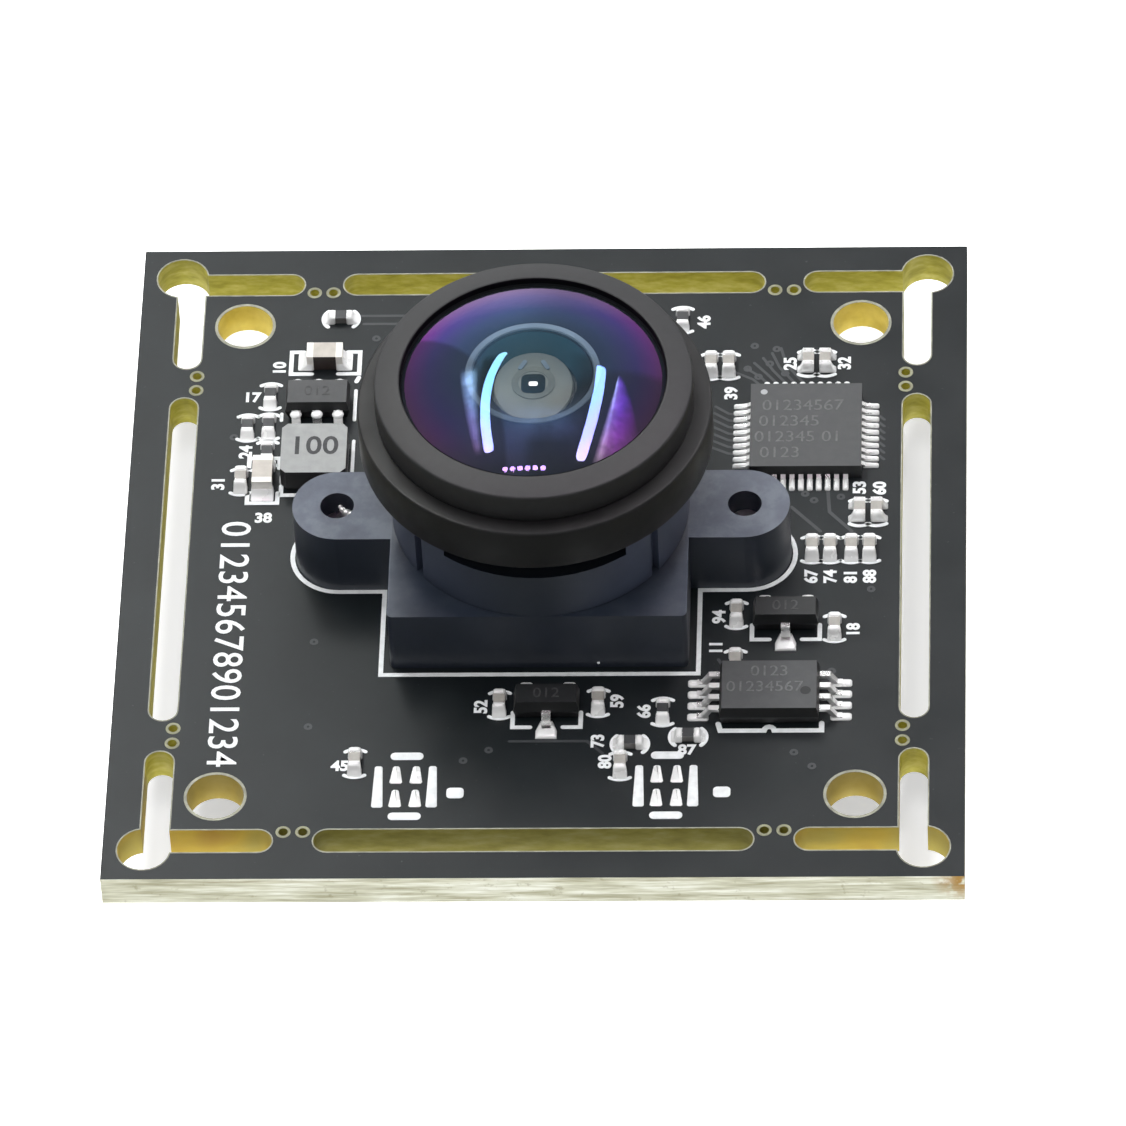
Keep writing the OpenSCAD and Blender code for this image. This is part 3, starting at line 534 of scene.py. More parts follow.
def two_tone_and_painted_shade(name, top, side, roughness):
    """A finish with one colour on its upward faces and another on its sides: real two-tone bodies for the
    resistors, painted light and shade for the chips, the front ring and the large capacitors, and a pale top
    with dark sides for the inductor.
    """
    n = material_nodes(name)
    flat = n.remap(n.math("ABSOLUTE", n.split(n.normals)[2]), 0.6, 0.9, 0.0, 1.0)
    grain = n.noise(2400, 4)
    light = n.ramp(grain, ((0.3, scaled(top, 0.92)), (0.7, scaled(top, 1.08))))
    dark = n.ramp(grain, ((0.3, scaled(side, 0.85)), (0.7, scaled(side, 1.15))))
    n.set(Base_Color=n.mix(flat, dark, light), Roughness=roughness)
    n.bump(n.noise(9000), 0.2)
    return n.owner


def rear_lit(name, near, far):
    """Glass or blacking deep in the lens, whose tone, painted light and shade, changes from the front to the
    rear.
    """
    n = material_nodes(name)
    tone = n.mix(n.remap(n.split()[1], -0.4 * MM, 2.2 * MM, 0.0, 1.0), near, far)
    patches = n.ramp(n.noise(600), ((0.3, (0.88, 0.88, 0.88)), (0.7, WHITE)))
    n.set(Base_Color=n.mix(1.0, tone, patches, "MULTIPLY"), Roughness=0.4, Specular_IOR_Level=0.25)
    return n.owner


def holder_material():
    """Moulded black plastic with a blue cast, mottled, with painted light and shade: upper faces paler than
    the sides, the tower's walls paler toward its left and right, and the ledge round the tower darker, most
    in the middle.
    """
    n = material_nodes("holder_plastic")
    x, _, z = n.split()
    upward = n.split(n.normals)[2]
    wide = n.math("ABSOLUTE", x)
    high = n.math("GREATER_THAN", z, (TOP + BASE_H + 0.05) * MM)
    flat = n.remap(upward, 0.5, 0.9, 0.0, 1.0)
    flat = n.math("MULTIPLY", flat, n.math("SUBTRACT", 1.0, high))
    worn = n.noise(420, 5, 0.6)
    side = n.ramp(worn, ((0.3, (0.014, 0.020, 0.031)), (0.7, (0.019, 0.026, 0.042))))
    # Painted light and shade: the tower's walls are paler than the base's sides, and darkest in the middle.
    lit_tower = n.ramp(worn, ((0.3, (0.034, 0.044, 0.074)), (0.7, (0.044, 0.056, 0.092))))
    aside = n.math("MAXIMUM", n.math("MULTIPLY", x, -0.9), n.math("MULTIPLY", x, 1.4))
    lit_tower = n.mix(n.remap(aside, 1.0 * MM, 6.0 * MM, 1.0, 0.0), lit_tower, (0.014, 0.021, 0.034))
    outward = n.math("LESS_THAN", n.math("ABSOLUTE", upward), 0.5)
    side = n.mix(n.math("MULTIPLY", high, outward), side, lit_tower)
    # Painted light: the upper faces are paler than the sides.
    blotch = n.noise(650, 4, 0.65)
    top = n.ramp(blotch, ((0.36, (0.044, 0.058, 0.092)), (0.5, (0.063, 0.080, 0.119)),
                          (0.64, (0.096, 0.116, 0.154))))
    # Painted shade: the ledge round the tower, under the lens flange, keeps only part of the paler top
    # colour, least in the middle.
    ledge_light_share = n.remap(wide, 4.5 * MM, 6.6 * MM, 0.20, 0.54)
    ledge = n.math("LESS_THAN", wide, (BASE - 0.05) * MM)
    unshaded_share = n.math("SUBTRACT", 1.0, n.math("MULTIPLY", ledge, n.math("SUBTRACT", 1.0, ledge_light_share)))
    flat = n.math("MULTIPLY", flat, unshaded_share)
    n.set(Base_Color=n.mix(flat, side, top), Roughness=0.46, Specular_IOR_Level=0.9)
    n.bump(n.noise(5200, 4), 0.22)
    return n.owner


MASK = board_material()
HOLDER = holder_material()
BLACK = plain("black_anodised", (0.0085, 0.0090, 0.0095), 0.42, grain=900, bump=0.10, bump_grain=7000,
              Specular_IOR_Level=0.42)
# Painted light: the ring's upper faces are paler than its sides.
RING_BLACK = two_tone_and_painted_shade("ring_black", (0.022, 0.023, 0.025), (0.014, 0.0145, 0.015), 0.48)
INNER_BLACK = plain("inner_black", (0.003, 0.003, 0.004), 0.7, Specular_IOR_Level=0.1)
# Painted light and shade: the chips' tops are paler than their sides.
CHIP = two_tone_and_painted_shade("chip_epoxy", (0.064, 0.067, 0.070), (0.012, 0.013, 0.014), 0.50)
CHIP_DARK = two_tone_and_painted_shade("chip_epoxy_dark", (0.016, 0.018, 0.019), (0.009, 0.010, 0.011), 0.46)
TIN = plain("tin", (0.92, 0.92, 0.91), 0.30, 0.75, mottling=0.05, grain=1800, bump=0.16, bump_grain=3500)
BRIGHT_TIN = plain("solder", (0.97, 0.97, 0.96), 0.24, 0.15, mottling=0.04, grain=1600, bump=0.20,
                   bump_grain=3000)
STEEL = plain("zinc_plate", (0.66, 0.66, 0.68), 0.28, 1.0, mottling=0.08, grain=1200, bump=0.10)
CREAM = plain("cream_ceramic", (0.86, 0.83, 0.78), 0.42, 0.2, mottling=0.05, grain=2600, bump=0.1)
BROWN = plain("brown_ceramic", (0.40, 0.38, 0.35), 0.45, grain=2600, bump=0.1)
RESISTOR = two_tone_and_painted_shade("resistor_glass", (0.05, 0.052, 0.055), (0.16, 0.155, 0.15), 0.35)
# Painted shade: the large capacitors' sides are far darker than their tops.
LARGE_BODY = two_tone_and_painted_shade("large_capacitor", (0.54, 0.50, 0.45), (0.040, 0.030, 0.027), 0.4)
INDUCTOR = two_tone_and_painted_shade("ferrite", (0.34, 0.35, 0.345), (0.020, 0.020, 0.021), 0.6)
SILK = plain("silk_ink", (0.88, 0.90, 0.91), 0.55, grain=2500, bump=0.15)
SILK_DIM = plain("dim_ink", (0.42, 0.43, 0.44), 0.6, grain=2500)
FAINTER = plain("dim_laser_mark", (0.050, 0.052, 0.053), 0.6, mottling=0.25, grain=5000)
FAINT = plain("laser_mark", (0.125, 0.130, 0.132), 0.6, mottling=0.25, grain=5000)
DARK_INK = plain("dark_ink", (0.045, 0.047, 0.05), 0.6, mottling=0.25, grain=4000)
RIM = plain("bare_rim", (0.32, 0.32, 0.25), 0.5, mottling=0.3, grain=1800)
BITE = plain("bite_rim", (0.27, 0.27, 0.17), 0.5, mottling=0.25, grain=1800)
TRACE = plain("mask_over_copper", (0.045, 0.049, 0.053), 0.40, grain=900)
NYLON = plain("nylon", (0.80, 0.77, 0.68), 0.45, mottling=0.04, grain=900, bump=0.08)
CERAMIC = plain("crystal_ceramic", (0.10, 0.09, 0.08), 0.5)
DEPTH_BLACK = plain("dark_slope", (0.004, 0.006, 0.012), 0.6, Specular_IOR_Level=0.1)
# Painted light inside the lens: tones run from front to rear; the second element's pale rim and the inner
# glints are painted highlights.
WELL = rear_lit("dark_well", (0.002, 0.006, 0.012), (0.014, 0.058, 0.088))
RIM_LIGHT = rear_lit("second_rim", (0.075, 0.11, 0.15), (0.19, 0.26, 0.34))
GREY_DISC = rear_lit("third_face", (0.205, 0.225, 0.205), (0.12, 0.14, 0.145))
STOP_GREY = plain("stop_grey", (0.11, 0.125, 0.11), 0.5, mottling=0.2, grain=900)
# Painted glint: a plate that glows on its own.
GLINT = plain("glint", (0.95, 0.95, 0.95), 0.3, mottling=0.02, Emission_Color=(1.0, 0.98, 0.95),
              Emission_Strength=1.2)

DOME_HUES = (
    (0.0, (0.13, 0.24, 0.28)),
    (0.34, (0.11, 0.29, 0.48)),
    (0.58, (0.15, 0.28, 0.76)),
    (0.78, (0.25, 0.155, 0.98)),
    (0.90, (0.55, 0.11, 0.94)),
    (1.0, (0.74, 0.15, 0.66)),
)
COAT = film_material("front_coating", DOME_HUES, GLASS_R, 0.18)
CLEAR = plain("clear_glass", (0.75, 0.82, 0.85), 0.05, mottling=0.02, Alpha=0.25)
UNDER_GLASS = plain("under_glass", (0.4, 0.5, 0.55), 0.05, mottling=0.02, Alpha=0.03)


# ---- camera, floor and light -----------------------------------------------


def make_camera():
    """The camera: where it stands, which way it looks and its long lens."""
    data = bpy.data.cameras.new("camera")
    data.sensor_width = 36.0
    data.lens = 344.34
    data.clip_end = 20.0
    data.clip_start = 0.01
    right = Vector((0.99883, 0.02788, -0.03950)).normalized()
    down = Vector((-0.00526, -0.74939, -0.66211)).normalized()
    ahead = right.cross(down).normalized()
    down = ahead.cross(right).normalized()
    turn = Matrix((right, -down, -ahead)).transposed().to_4x4()
    camera = add_object("camera", data)
    spot = Vector((23.918, -317.788, 358.973 + TOP)) * MM
    camera.matrix_world = Matrix.Translation(spot) @ turn
    bpy.context.scene.camera = camera


def stage_mesh(name, bm, material, camera=True):
    """A thing of the studio, not of the part."""
    thing = mesh_object(name, bm, material)
    thing.visible_camera = thing.visible_shadow = camera
    return thing


def make_floor():
    """A pale floor that glows like a light table, just under the part, its glow dimmed beneath the board as a
    painted shadow.
    """
    bm = bmesh.new()
    half, z = 1500.0, cad_box[0][2] / MM - 0.02
    slab(bm, [(-half, -half), (half, -half), (half, half), (-half, half)], z - 1, z)
    n = material_nodes("floor")
    x, y, _ = n.split()
    # Painted shadow: the glow is weaker beneath the board.
    side = n.math("SUBTRACT", n.math("ABSOLUTE", x), (HALF_X - 0.7) * MM)
    depth = n.math("ABSOLUTE", n.math("SUBTRACT", y, 3.2 * MM))
    depth = n.math("SUBTRACT", depth, (HALF_Y - 0.3) * MM)
    shade = n.remap(n.math("MAXIMUM", side, depth), -1.0 * MM, 0.6 * MM, 0.50, 1.25)
    n.set(Base_Color=(0.85, 0.85, 0.85), Roughness=0.9, Emission_Color=WHITE, Emission_Strength=shade)
    floor = stage_mesh("floor", bm, n.owner)
    floor.visible_glossy = False


def glow(name, colour, strength):
    """An evenly glowing material."""
    n = material_nodes(name)
    n.set(Base_Color=NONE, Emission_Color=colour, Emission_Strength=strength)
    return n.owner


def lamp(name, start, end, inset, lean, bow, width, colour, strength):
    """A long flat lamp over the part, bowed sideways; its lengths are for one unit of height."""
    steps = 16
    line = []
    for i in range(steps + 1):
        t = start + (end - start) * i / steps
        line.append(((inset + lean * t + bow * (t - 0.5) ** 2) * LAMP_Z, t * LAMP_Z))
    bm = bmesh.new()
    ribbon(bm, line, width * LAMP_Z, LAMP_Z, LAMP_Z + 1.0)
    stage_mesh(name, bm, glow(name + "_light", colour, strength), camera=False)


def lamp_dots():
    """A row of six small round lamps."""
    material = glow("dots", (1.0, 0.5, 0.8), 24.0)
    for i in range(6):
        bm = bmesh.new()
        outline = arc((-0.193 + 0.0448 * i) * LAMP_Z, -0.065 * LAMP_Z, 0.016 * LAMP_Z, 0, 345, 23)
        slab(bm, outline, LAMP_Z, LAMP_Z + 1)
        stage_mesh("dot", bm, material, camera=False).visible_diffuse = False


def sheet_shader(n, colour, strength):
    """See-through, with a soft glow added, or darkened if the strength is zero."""
    if not strength:
        shade = n.mix(1.0, WHITE, colour, "SUBTRACT")
        return n.add("ShaderNodeBsdfTransparent", {"Color": shade}).outputs[0]
    patches = n.remap(n.noise(34.0, 3, 0.6), 0.35, 0.62, 0.55 * strength, strength)
    light = n.add("ShaderNodeEmission", {"Color": colour, "Strength": patches}).outputs[0]
    clear = n.add("ShaderNodeBsdfTransparent").outputs[0]
    return n.add("ShaderNodeAddShader", {0: light, 1: clear}).outputs[0]


def soft_sheet(name, span, left, right, across, along, strength=0.0):
    """A sheet over the part, seen only in reflections, that glows softly or shades what lies behind it.

    Its sides are straight lines, each given by its place and lean for one unit of height. Its colour
    runs over its width by the stops across, and fades over its length by the stops along.
    """
    height = LAMP_Z + (3 if strength else 2)
    n = material_nodes(name)
    x, y = (n.math("DIVIDE", part, height * MM) for part in n.split()[:2])
    near, far = (n.math("MULTIPLY_ADD", y, lean, foot) for foot, lean in (left, right))
    side = n.math("DIVIDE", n.math("SUBTRACT", x, near), n.math("SUBTRACT", far, near))
    fade = n.ramp(n.remap(y, *span, 0.0, 1.0), [(spot, (value,) * 3) for spot, value in along])
    colour = n.mix(1.0, n.ramp(side, across), fade, "MULTIPLY")
    n.put(n.tree.nodes["Material Output"].inputs["Surface"], sheet_shader(n, colour, strength))
    bm = bmesh.new()
    low, high = span
    corners = ((left, low), (right, low), (right, high), (left, high))
    bm.faces.new([bm.verts.new(((foot + lean * y) * height, y * height, height))
                  for (foot, lean), y in corners])
    stage_mesh(name, bm, n.owner, camera=False).visible_diffuse = False


def area_light(name, at, size, power):
    """A rectangular light that points at the part and isn't mirrored in it; lengths are in millimetres."""
    data = bpy.data.lights.new(name, "AREA")
    data.shape = "RECTANGLE"
    data.size, data.size_y = size[0] * MM, size[1] * MM
    data.energy = power
    light = add_object(name, data)
    light.location = Vector(at) * MM
    light.rotation_euler = Vector(at).to_track_quat("Z", "Y").to_euler()
    light.visible_glossy = False


def make_world():
    """A bright wall low behind the part, dim above and in front."""
    world = bpy.data.worlds.new("studio")
    bpy.context.scene.world = world
    n = Nodes(world, "Generated")
    x, y, z = n.split()

    def spread(value, *numbers):
        return n.remap(value, *numbers, kind="SMOOTHSTEP")

    left = n.math("MULTIPLY_ADD", x, 2.7, 1.485)
    right = n.math("MULTIPLY_ADD", x, -0.78, 0.946)
    above = n.math("SUBTRACT", z, n.math("MINIMUM", left, right))
    wall = spread(z, 0.0, 0.66, 1.70, 0.60)
    sides = spread(above, -0.04, 0.04, 1.0, 0.44)
    rear = spread(y, -0.15, 0.25, 0.30, 1.0)
    ground = spread(z, -0.06, 0.0, 0.1, 1.0)
    tilt = spread(x, -0.15, 0.06, 1.26, 0.78)
    total = n.math("MULTIPLY", n.math("MULTIPLY", wall, sides), n.math("MULTIPLY", rear, ground))
    n.set(Color=WHITE, Strength=n.math("MULTIPLY", total, tilt))


def make_lights():
    """Two long lamps with a soft glow and shade by each, a row of small lamps, and a wall behind."""
    lamp("left_lamp", 0.09, 1.04, -0.325, 0.0, 0.20, 0.060, (0.95, 1.0, 1.0), 19.0)
    lamp("right_lamp", 0.03, 0.90, 0.266, 0.145, -0.08, 0.064, (1.0, 0.98, 1.0), 17.0)
    amber = (1.0, 0.82, 0.62)
    soft_sheet("left_glow", (0.05, 0.98), (-0.375, -0.205), (-0.320, -0.105),
               ((0.0, NONE), (0.42, amber), (0.62, amber), (1.0, NONE)),
               ((0.0, 0.0), (0.1, 0.18), (0.45, 0.38), (0.6, 0.58), (0.75, 1.0), (0.84, 0.65), (0.93, 0.10),
                (1.0, 0.0)), 16.0)
    soft_sheet("right_glow", (0.0, 0.88), (0.322, 0.21), (0.70, -0.18),
               ((0.0, NONE), (0.10, (1.0, 0.92, 0.60)), (0.2, (0.48, 0.27, 0.34)), (0.38, (0.29, 0.10, 0.27)),
                (0.62, (0.13, 0.045, 0.135)), (1.0, NONE)),
               ((0.0, 0.2), (0.1, 0.40), (0.3, 0.52), (0.45, 0.60), (0.62, 0.95), (0.85, 0.90),
                (1.0, 0.0)), 16.0)
    soft_sheet("top_glow", (0.10, 0.42), (-0.20, 0.0), (0.26, 0.0),
               ((0.0, NONE), (0.4, WHITE), (0.65, WHITE), (1.0, NONE)),
               ((0.0, 0.0), (0.4, 1.0), (0.7, 1.0), (1.0, 0.0)), 0.8)
    soft_sheet("left_shade", (0.40, 1.08), (-0.330, -0.085), (-0.22, -0.04),
               ((0.0, NONE), (0.22, WHITE), (0.55, WHITE), (1.0, NONE)),
               ((0.0, 0.0), (0.2, 1.0), (0.8, 1.0), (1.0, 0.0)))
    soft_sheet("right_shade", (0.40, 1.10), (0.16, 0.0), (0.31, 0.07),
               ((0.0, NONE), (0.5, WHITE), (0.85, WHITE), (1.0, NONE)),
               ((0.0, 0.0), (0.3, 0.7), (0.8, 0.7), (1.0, 0.0)))
    lamp_dots()
    area_light("key", (-190, 150, 260), (160, 160), 0.25)
    area_light("fill", (-30, -130, 330), (160, 120), 0.50)
    make_world()
    bpy.context.scene.view_settings.view_transform = "Standard"


make_camera()
make_floor()
make_lights()

# ---- finish of the CAD nodes -----------------------------------------------

FINISHES = (
    (MASK, 0, "board"),
    (HOLDER, 0.10, "lens_holder"),
    (STEEL, 0.05, "holder_screws"),
    (CLEAR, 0, "filter sensor_glass front_element second_element third_element doublet_front doublet_rear"),
    (INNER_BLACK, 0, "front_spacer middle_spacer aperture_stop rear_spacer"),
    (BLACK, 0, "lens_barrel"),
    (RING_BLACK, 0, "front_ring"),
    (CHIP, 0.03, "controller memory_chip converter"),
    (CHIP_DARK, 0.03, "lower_regulator side_regulator"),
    (CHIP_DARK, 0, "sensor_package"),
    (TIN, 0.02, "controller_terminals memory_leads"),
    (TIN, 0.03, "lower_regulator_leads side_regulator_leads converter_leads"),
    (TIN, 0.04, "resistor_ends socket_contacts socket_tabs"),
    (TIN, 0.06, "small_capacitor_ends"),
    (TIN, 0, "inductor_terminals"),
    (INDUCTOR, 0.06, "inductor"),
    (LARGE_BODY, 0.03, "large_capacitors"),
    (CREAM, 0.07, "large_capacitor_ends"),
    (BROWN, 0.03, "small_capacitors"),
    (RESISTOR, 0.02, "resistors"),
    (NYLON, 0.08, "socket_housing"),
    (CERAMIC, 0.04, "crystal_base"),
    (STEEL, 0.06, "crystal_lid"),
)


def finish_nodes():
    """Gives each CAD node its finish, and rounds the edges that would catch the light."""
    for material, width, names in FINISHES:
        for piece in (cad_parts[name] for name in names.split()):
            piece.data.materials.clear()
            piece.data.materials.append(material)
            if width:
                edge = piece.modifiers.new("edges", "BEVEL")
                edge.width = width * MM
                edge.segments = 2
                edge.limit_method = "ANGLE"
                edge.angle_limit = math.radians(38)


finish_nodes()

# ---- board print, bare metal and solder ------------------------------------


def up_or_down(front):
    """Board face that a detail stands on, and the way it stands up from it."""
    return (TOP, 1) if front else (BACK, -1)


def stroke(bm, points, width=0.2, front=True, thick=0.02, closed=False):
    """A printed line on the board's front or back face."""
    z, way = up_or_down(front)
    low, high = sorted((z - SUNK * way, z + thick * way))
    ribbon(bm, points, width, low, high, closed)


def slot_outline(grow):
    """Outline of the rear middle slot."""
    r = SLOT_W / 2 + grow
    reach = MID_SLOT_END - SLOT_W / 2
    return arc(reach, SLOT_LINE, r, -90, 90, 12) + arc(-reach, SLOT_LINE, r, 90, 270, 12)


def corner_outline(grow):
    """Outline of a corner hole and the two slots that run into it."""
    r, hole = SLOT_W / 2 + grow, CORNER_R + grow
    near, far = SLOT_LINE - r, SLOT_LINE + r
    tip = CORNER_SLOT_END + SLOT_W / 2
    reach = math.degrees(math.asin((far - CORNER) / hole))
    over = arc(CORNER, CORNER, hole, 180 - reach, -90 + reach, 20)
    first = arc(SLOT_LINE, tip, r, 0, -180, 12)
    second = arc(tip, SLOT_LINE, r, -90, -270, 12)
    return over + first + [(near, near)] + second


def flipped(points, fx, fy):
    """Points mirrored about the board's middle lines, kept running the same way round."""
    moved = [(x * fx, y * fy) for x, y in points]
    return moved if fx * fy > 0 else list(reversed(moved))


def bare_rims(front):
    """Thin bare edges round the slots, corner holes and mounting holes."""
    bm = bmesh.new()
    grow, width = 0.03, 0.06
    for turn in range(4):
        stroke(bm, place(slot_outline(grow), 0, 0, 90 * turn), width, front, 0.008, closed=True)
    for fx, fy in ((1, 1), (-1, 1), (-1, -1), (1, -1)):
        stroke(bm, flipped(corner_outline(grow), fx, fy), width, front, 0.008, closed=True)
        stroke(bm, arc(fx * MOUNT, fy * MOUNT, MOUNT_R + 0.07, 0, 350, 35), 0.13, front, 0.010, closed=True)
    finish_mesh("bare_rims_" + ("front" if front else "back"), bm, RIM)


def bite_rings(front):
    """Pale rings round the small holes that perforate the bridges."""
    bm = bmesh.new()
    for turn in range(4):
        for side in (-1, 1):
            for step in (-0.5, 0.5):
                ring = arc(side * (BITE_MID + step * BITE_STEP_X), BITE_LINE, 0.27, 0, 345, 23)
                stroke(bm, place(ring, 0, 0, 90 * turn), 0.12, front, 0.012, closed=True)
    finish_mesh("bite_rings_" + ("front" if front else "back"), bm, BITE)


def holder_outline():
    """Printed outline round the holder's base and ears."""
    bm = bmesh.new()
    e, r, s = EAR_X + 0.05, EAR_R + 0.12, BASE + 0.42
    right = [(s, -s), (s, -r)] + arc(e, 0, r, -90, 90, 24) + [(s, r), (s, s)]
    left = [(-x, -y) for x, y in right]
    stroke(bm, right + left, 0.21, closed=True)
    printed("holder_outline", bm)


def chip_brackets():
    """Printed lines beside the chips and the inductor."""
    bm = bmesh.new()
    for chip in (middle("lower_regulator"), middle("side_regulator")):
        for way in (-1, 1):
            corner = chip.x + way * 1.5
            foot = chip.y - 1.05
            stroke(bm, [(chip.x + way * 0.72, foot), (corner, foot), (corner, foot + 0.85)], 0.2)
    low, high = node_box("memory_chip")
    x0, x1, y = low.x + 0.05, high.x + 0.1, low.y - 0.25
    notch = arc(middle("memory_chip").x, y, 0.22, 180, 0, 6)
    stroke(bm, [(x0 - 0.1, y + 0.4), (x0, y)] + notch + [(x1, y), (x1, y + 0.42)], 0.24)
    low, high = node_box("inductor")
    stroke(bm, [(high.x + 0.2, low.y + 1.0), (high.x + 0.2, high.y)], 0.16)
    stroke(bm, [(low.x, low.y + 0.25), (low.x, low.y - 0.3), (low.x + 0.9, low.y - 0.3)], 0.2)
    low, high = node_box("converter")
    stroke(bm, [(high.x + 0.2, low.y), (high.x + 0.2, high.y + 0.2)], 0.16)
    stroke(bm, [(high.x + 0.2, high.y + 0.75), (high.x + 0.3, high.y + 1.0)], 0.2)
    stroke(bm, [(low.x - 0.2, low.y), (low.x - 0.2, low.y + 0.4)], 0.16)
    printed("chip_brackets", bm)


def ends_lie_along_x(node, x, y):
    """Tells from the nearest metal end which way a small part lies."""
    ends = [centre(*box) for box in islands(node[:-1] + "_ends")]
    across, along = min(((abs(px - x), abs(py - y)) for px, py in ends), key=lambda gap: math.hypot(*gap))
    return across > along


def end_marks():
    """Printed bows beyond both ends of each small capacitor and resistor."""
    fore, aft = bmesh.new(), bmesh.new()
    for node in ("small_capacitors", "resistors"):
        for low, high in islands(node):
            x, y = centre(low, high)
            along_x = ends_lie_along_x(node, x, y)
            length = high.x - low.x if along_x else high.y - low.y
            r, half, width, steps = (0.62, 50, 0.19, 10) if along_x else (0.85, 32, 0.17, 8)
            bow = arc(length / 2 + 0.25 + END_BEYOND - r, 0, r, -half, half, steps)
            front = low.z > 0
            for turn in (180, 0) if along_x else (270, 90):
                stroke(fore if front else aft, place(bow, x, y, turn), width, front)
    printed("part_marks_front", fore)
    printed("part_marks_back", aft)


def large_capacitor_marks():
    """Square brackets round the ends of the two large capacitors."""
    bm = bmesh.new()
    for low, high in islands("large_capacitors"):
        for way in (-1, 1):
            if high.x - low.x > high.y - low.y:
                inner, outer = way * 1.0, way * 1.55
                path = [(inner, 0.62), (outer, 0.62), (outer, -0.72), (inner * 0.6, -0.72)]
            else:
                inner, outer = way * 0.75, way * 1.35
                path = [(-0.68, inner), (-0.68, outer), (0.68, outer), (0.68, inner)]
            stroke(bm, place(path, *centre(low, high)), 0.2)
    printed("large_capacitor_marks", bm)


def solder_bead(bm, spot, turn, end_l, w, h, reach, front, cover):
    """Solder over one metal end. The part lies on the minus side; solder flows out on the plus side."""
    rows = (
        (reach, end_l, 0.07, -SUNK),
        (reach, end_l, 0.07, 0.03),
        (0.60 * reach, end_l, 0.055, 0.26 * h * cover),
        (0.30 * reach, end_l, 0.045, 0.62 * h * cover),
        (0.15 * reach, end_l - 0.01, 0.03, 0.92 * h * cover),
        (0.04 * reach, end_l - 0.03, -0.02, (h + 0.035) * cover),
        (-0.25 * end_l, 0.70 * end_l, -0.14, (h + 0.07) * cover),
    )
    z, way = up_or_down(front)
    rings = []
    for out, back, wider, lift in rows:
        flat = [(px + (out - back) / 2, py) for px, py in rounded_rect(out + back, w + 2 * wider, 0.09, 3)]
        rings.append([(px, py, z + way * lift) for px, py in place(flat, *spot, turn)])
    skin(bm, rings)


def bead_ends(node, bm, reach, cover=1.0):
    """Solder at each metal end of a node's small parts."""
    boxes = islands(node)
    for low, high in boxes:
        mid = (low + high) / 2
        others = [(box[0] + box[1]) / 2 for box in boxes if (box[0] - low).length > 0.05]
        away = (mid - min(others, key=lambda other: (other - mid).length)).xy
        size = high - low
        end_l, w = (size.x, size.y) if abs(away.x) > abs(away.y) else (size.y, size.x)
        spot = mid.xy + away.normalized() * end_l / 2
        turn = math.degrees(math.atan2(away.y, away.x))
        solder_bead(bm, spot, turn, end_l, w, size.z, reach, low.z > 0, cover)


def small_part_solder():
    """Bright solder over the ends of the small capacitors and resistors."""
    bm = bmesh.new()
    bead_ends("small_capacitor_ends", bm, 0.26)
    bead_ends("resistor_ends", bm, 0.26)
    soldered("small_part_solder", bm)


def large_part_solder():
    """Solder that rises part of the way up the large capacitors' ends."""
    bm = bmesh.new()
    bead_ends("large_capacitor_ends", bm, 0.42, 0.42)
    soldered("large_part_solder", bm)


def lead_solder(name, chip_name, width, length, out, height):
    """A pad with solder under each lead of a chip, running out from the chip."""
    bm = bmesh.new()
    chip = middle(chip_name)
    for low, high in islands(chip_name.replace("_chip", "") + "_leads"):
        x, y = centre(low, high)
        if chip_name == "memory_chip" and abs(x - chip.x) > abs(y - chip.y) + 0.2:
            tip, way = (high.x, 1) if x > chip.x else (low.x, -1)
            mound(bm, tip + way * (out - length / 2), y, length, width, height)
        else:
            tip, way = (high.y, 1) if y > chip.y else (low.y, -1)
            mound(bm, x, tip + way * (out - length / 2), width, length, height)
    soldered(name, bm)


def controller_solder():
    """Solder drawn out from under each of the controller's forty terminals."""
    bm = bmesh.new()
    chip = middle("controller")
    edge = node_box("controller")[1].x - chip.x - 0.15
    for low, high in islands("controller_terminals"):
        x, y = centre(low, high)
        if abs(x - chip.x) > edge and abs(y - chip.y) < 2.1:
            mound(bm, x + math.copysign(0.12, x - chip.x), y, 0.72, 0.26, 0.16, crown=0.5)
        else:
            mound(bm, x, y + math.copysign(0.12, y - chip.y), 0.26, 0.72, 0.16, crown=0.5)
    soldered("controller_solder", bm)


def blob(bm, x, y, z, rx, ry, rz):
    """A smooth drop."""
    steps, rings = 14, 6
    rows = []
    for i in range(1, rings):
        t = math.pi * i / rings
        r, lift = math.sin(t), -rz * math.cos(t)
        turns = [TAU * k / steps for k in range(steps)]
        rows.append([(x + rx * r * math.cos(a), y + ry * r * math.sin(a), z + lift) for a in turns])
    skin(bm, rows)


def converter_shoulders():
    """White drops in the solder finish on the shoulders of the converter's leads: painted highlights where
    the shoulders catch the light.
    """
    bm = bmesh.new()
    for low, high in islands("converter_leads"):
        x = centre(low, high)[0]
        if high.y < middle("converter").y:
            blob(bm, x, high.y - 0.22, high.z - 0.04, 0.27, 0.25, 0.15)
        else:
            blob(bm, x, low.y + 0.2, high.z - 0.1, 0.22, 0.18, 0.13)
    soldered("converter_shoulders", bm)


def regulator_pads():
    """The large tapered pads in front of the two regulators."""
    bm = bmesh.new()
    for chip in (middle("lower_regulator"), middle("side_regulator")):
        y0, y1 = chip.y - 1.72, chip.y - 0.72
        rings = []
        for inset, lift in ((0.0, -SUNK), (0.0, 0.05), (0.08, 0.12), (0.16, 0.15)):
            a, b = 0.47 - inset, 0.26 - inset * 0.6
            outline = both_halves([(a, y0 + inset), (a, y0 + 0.42), (b, y1 - inset)])
            rings.append([(chip.x + x, y, TOP + lift) for x, y in outline])
        skin(bm, rings)
    soldered("regulator_pads", bm)


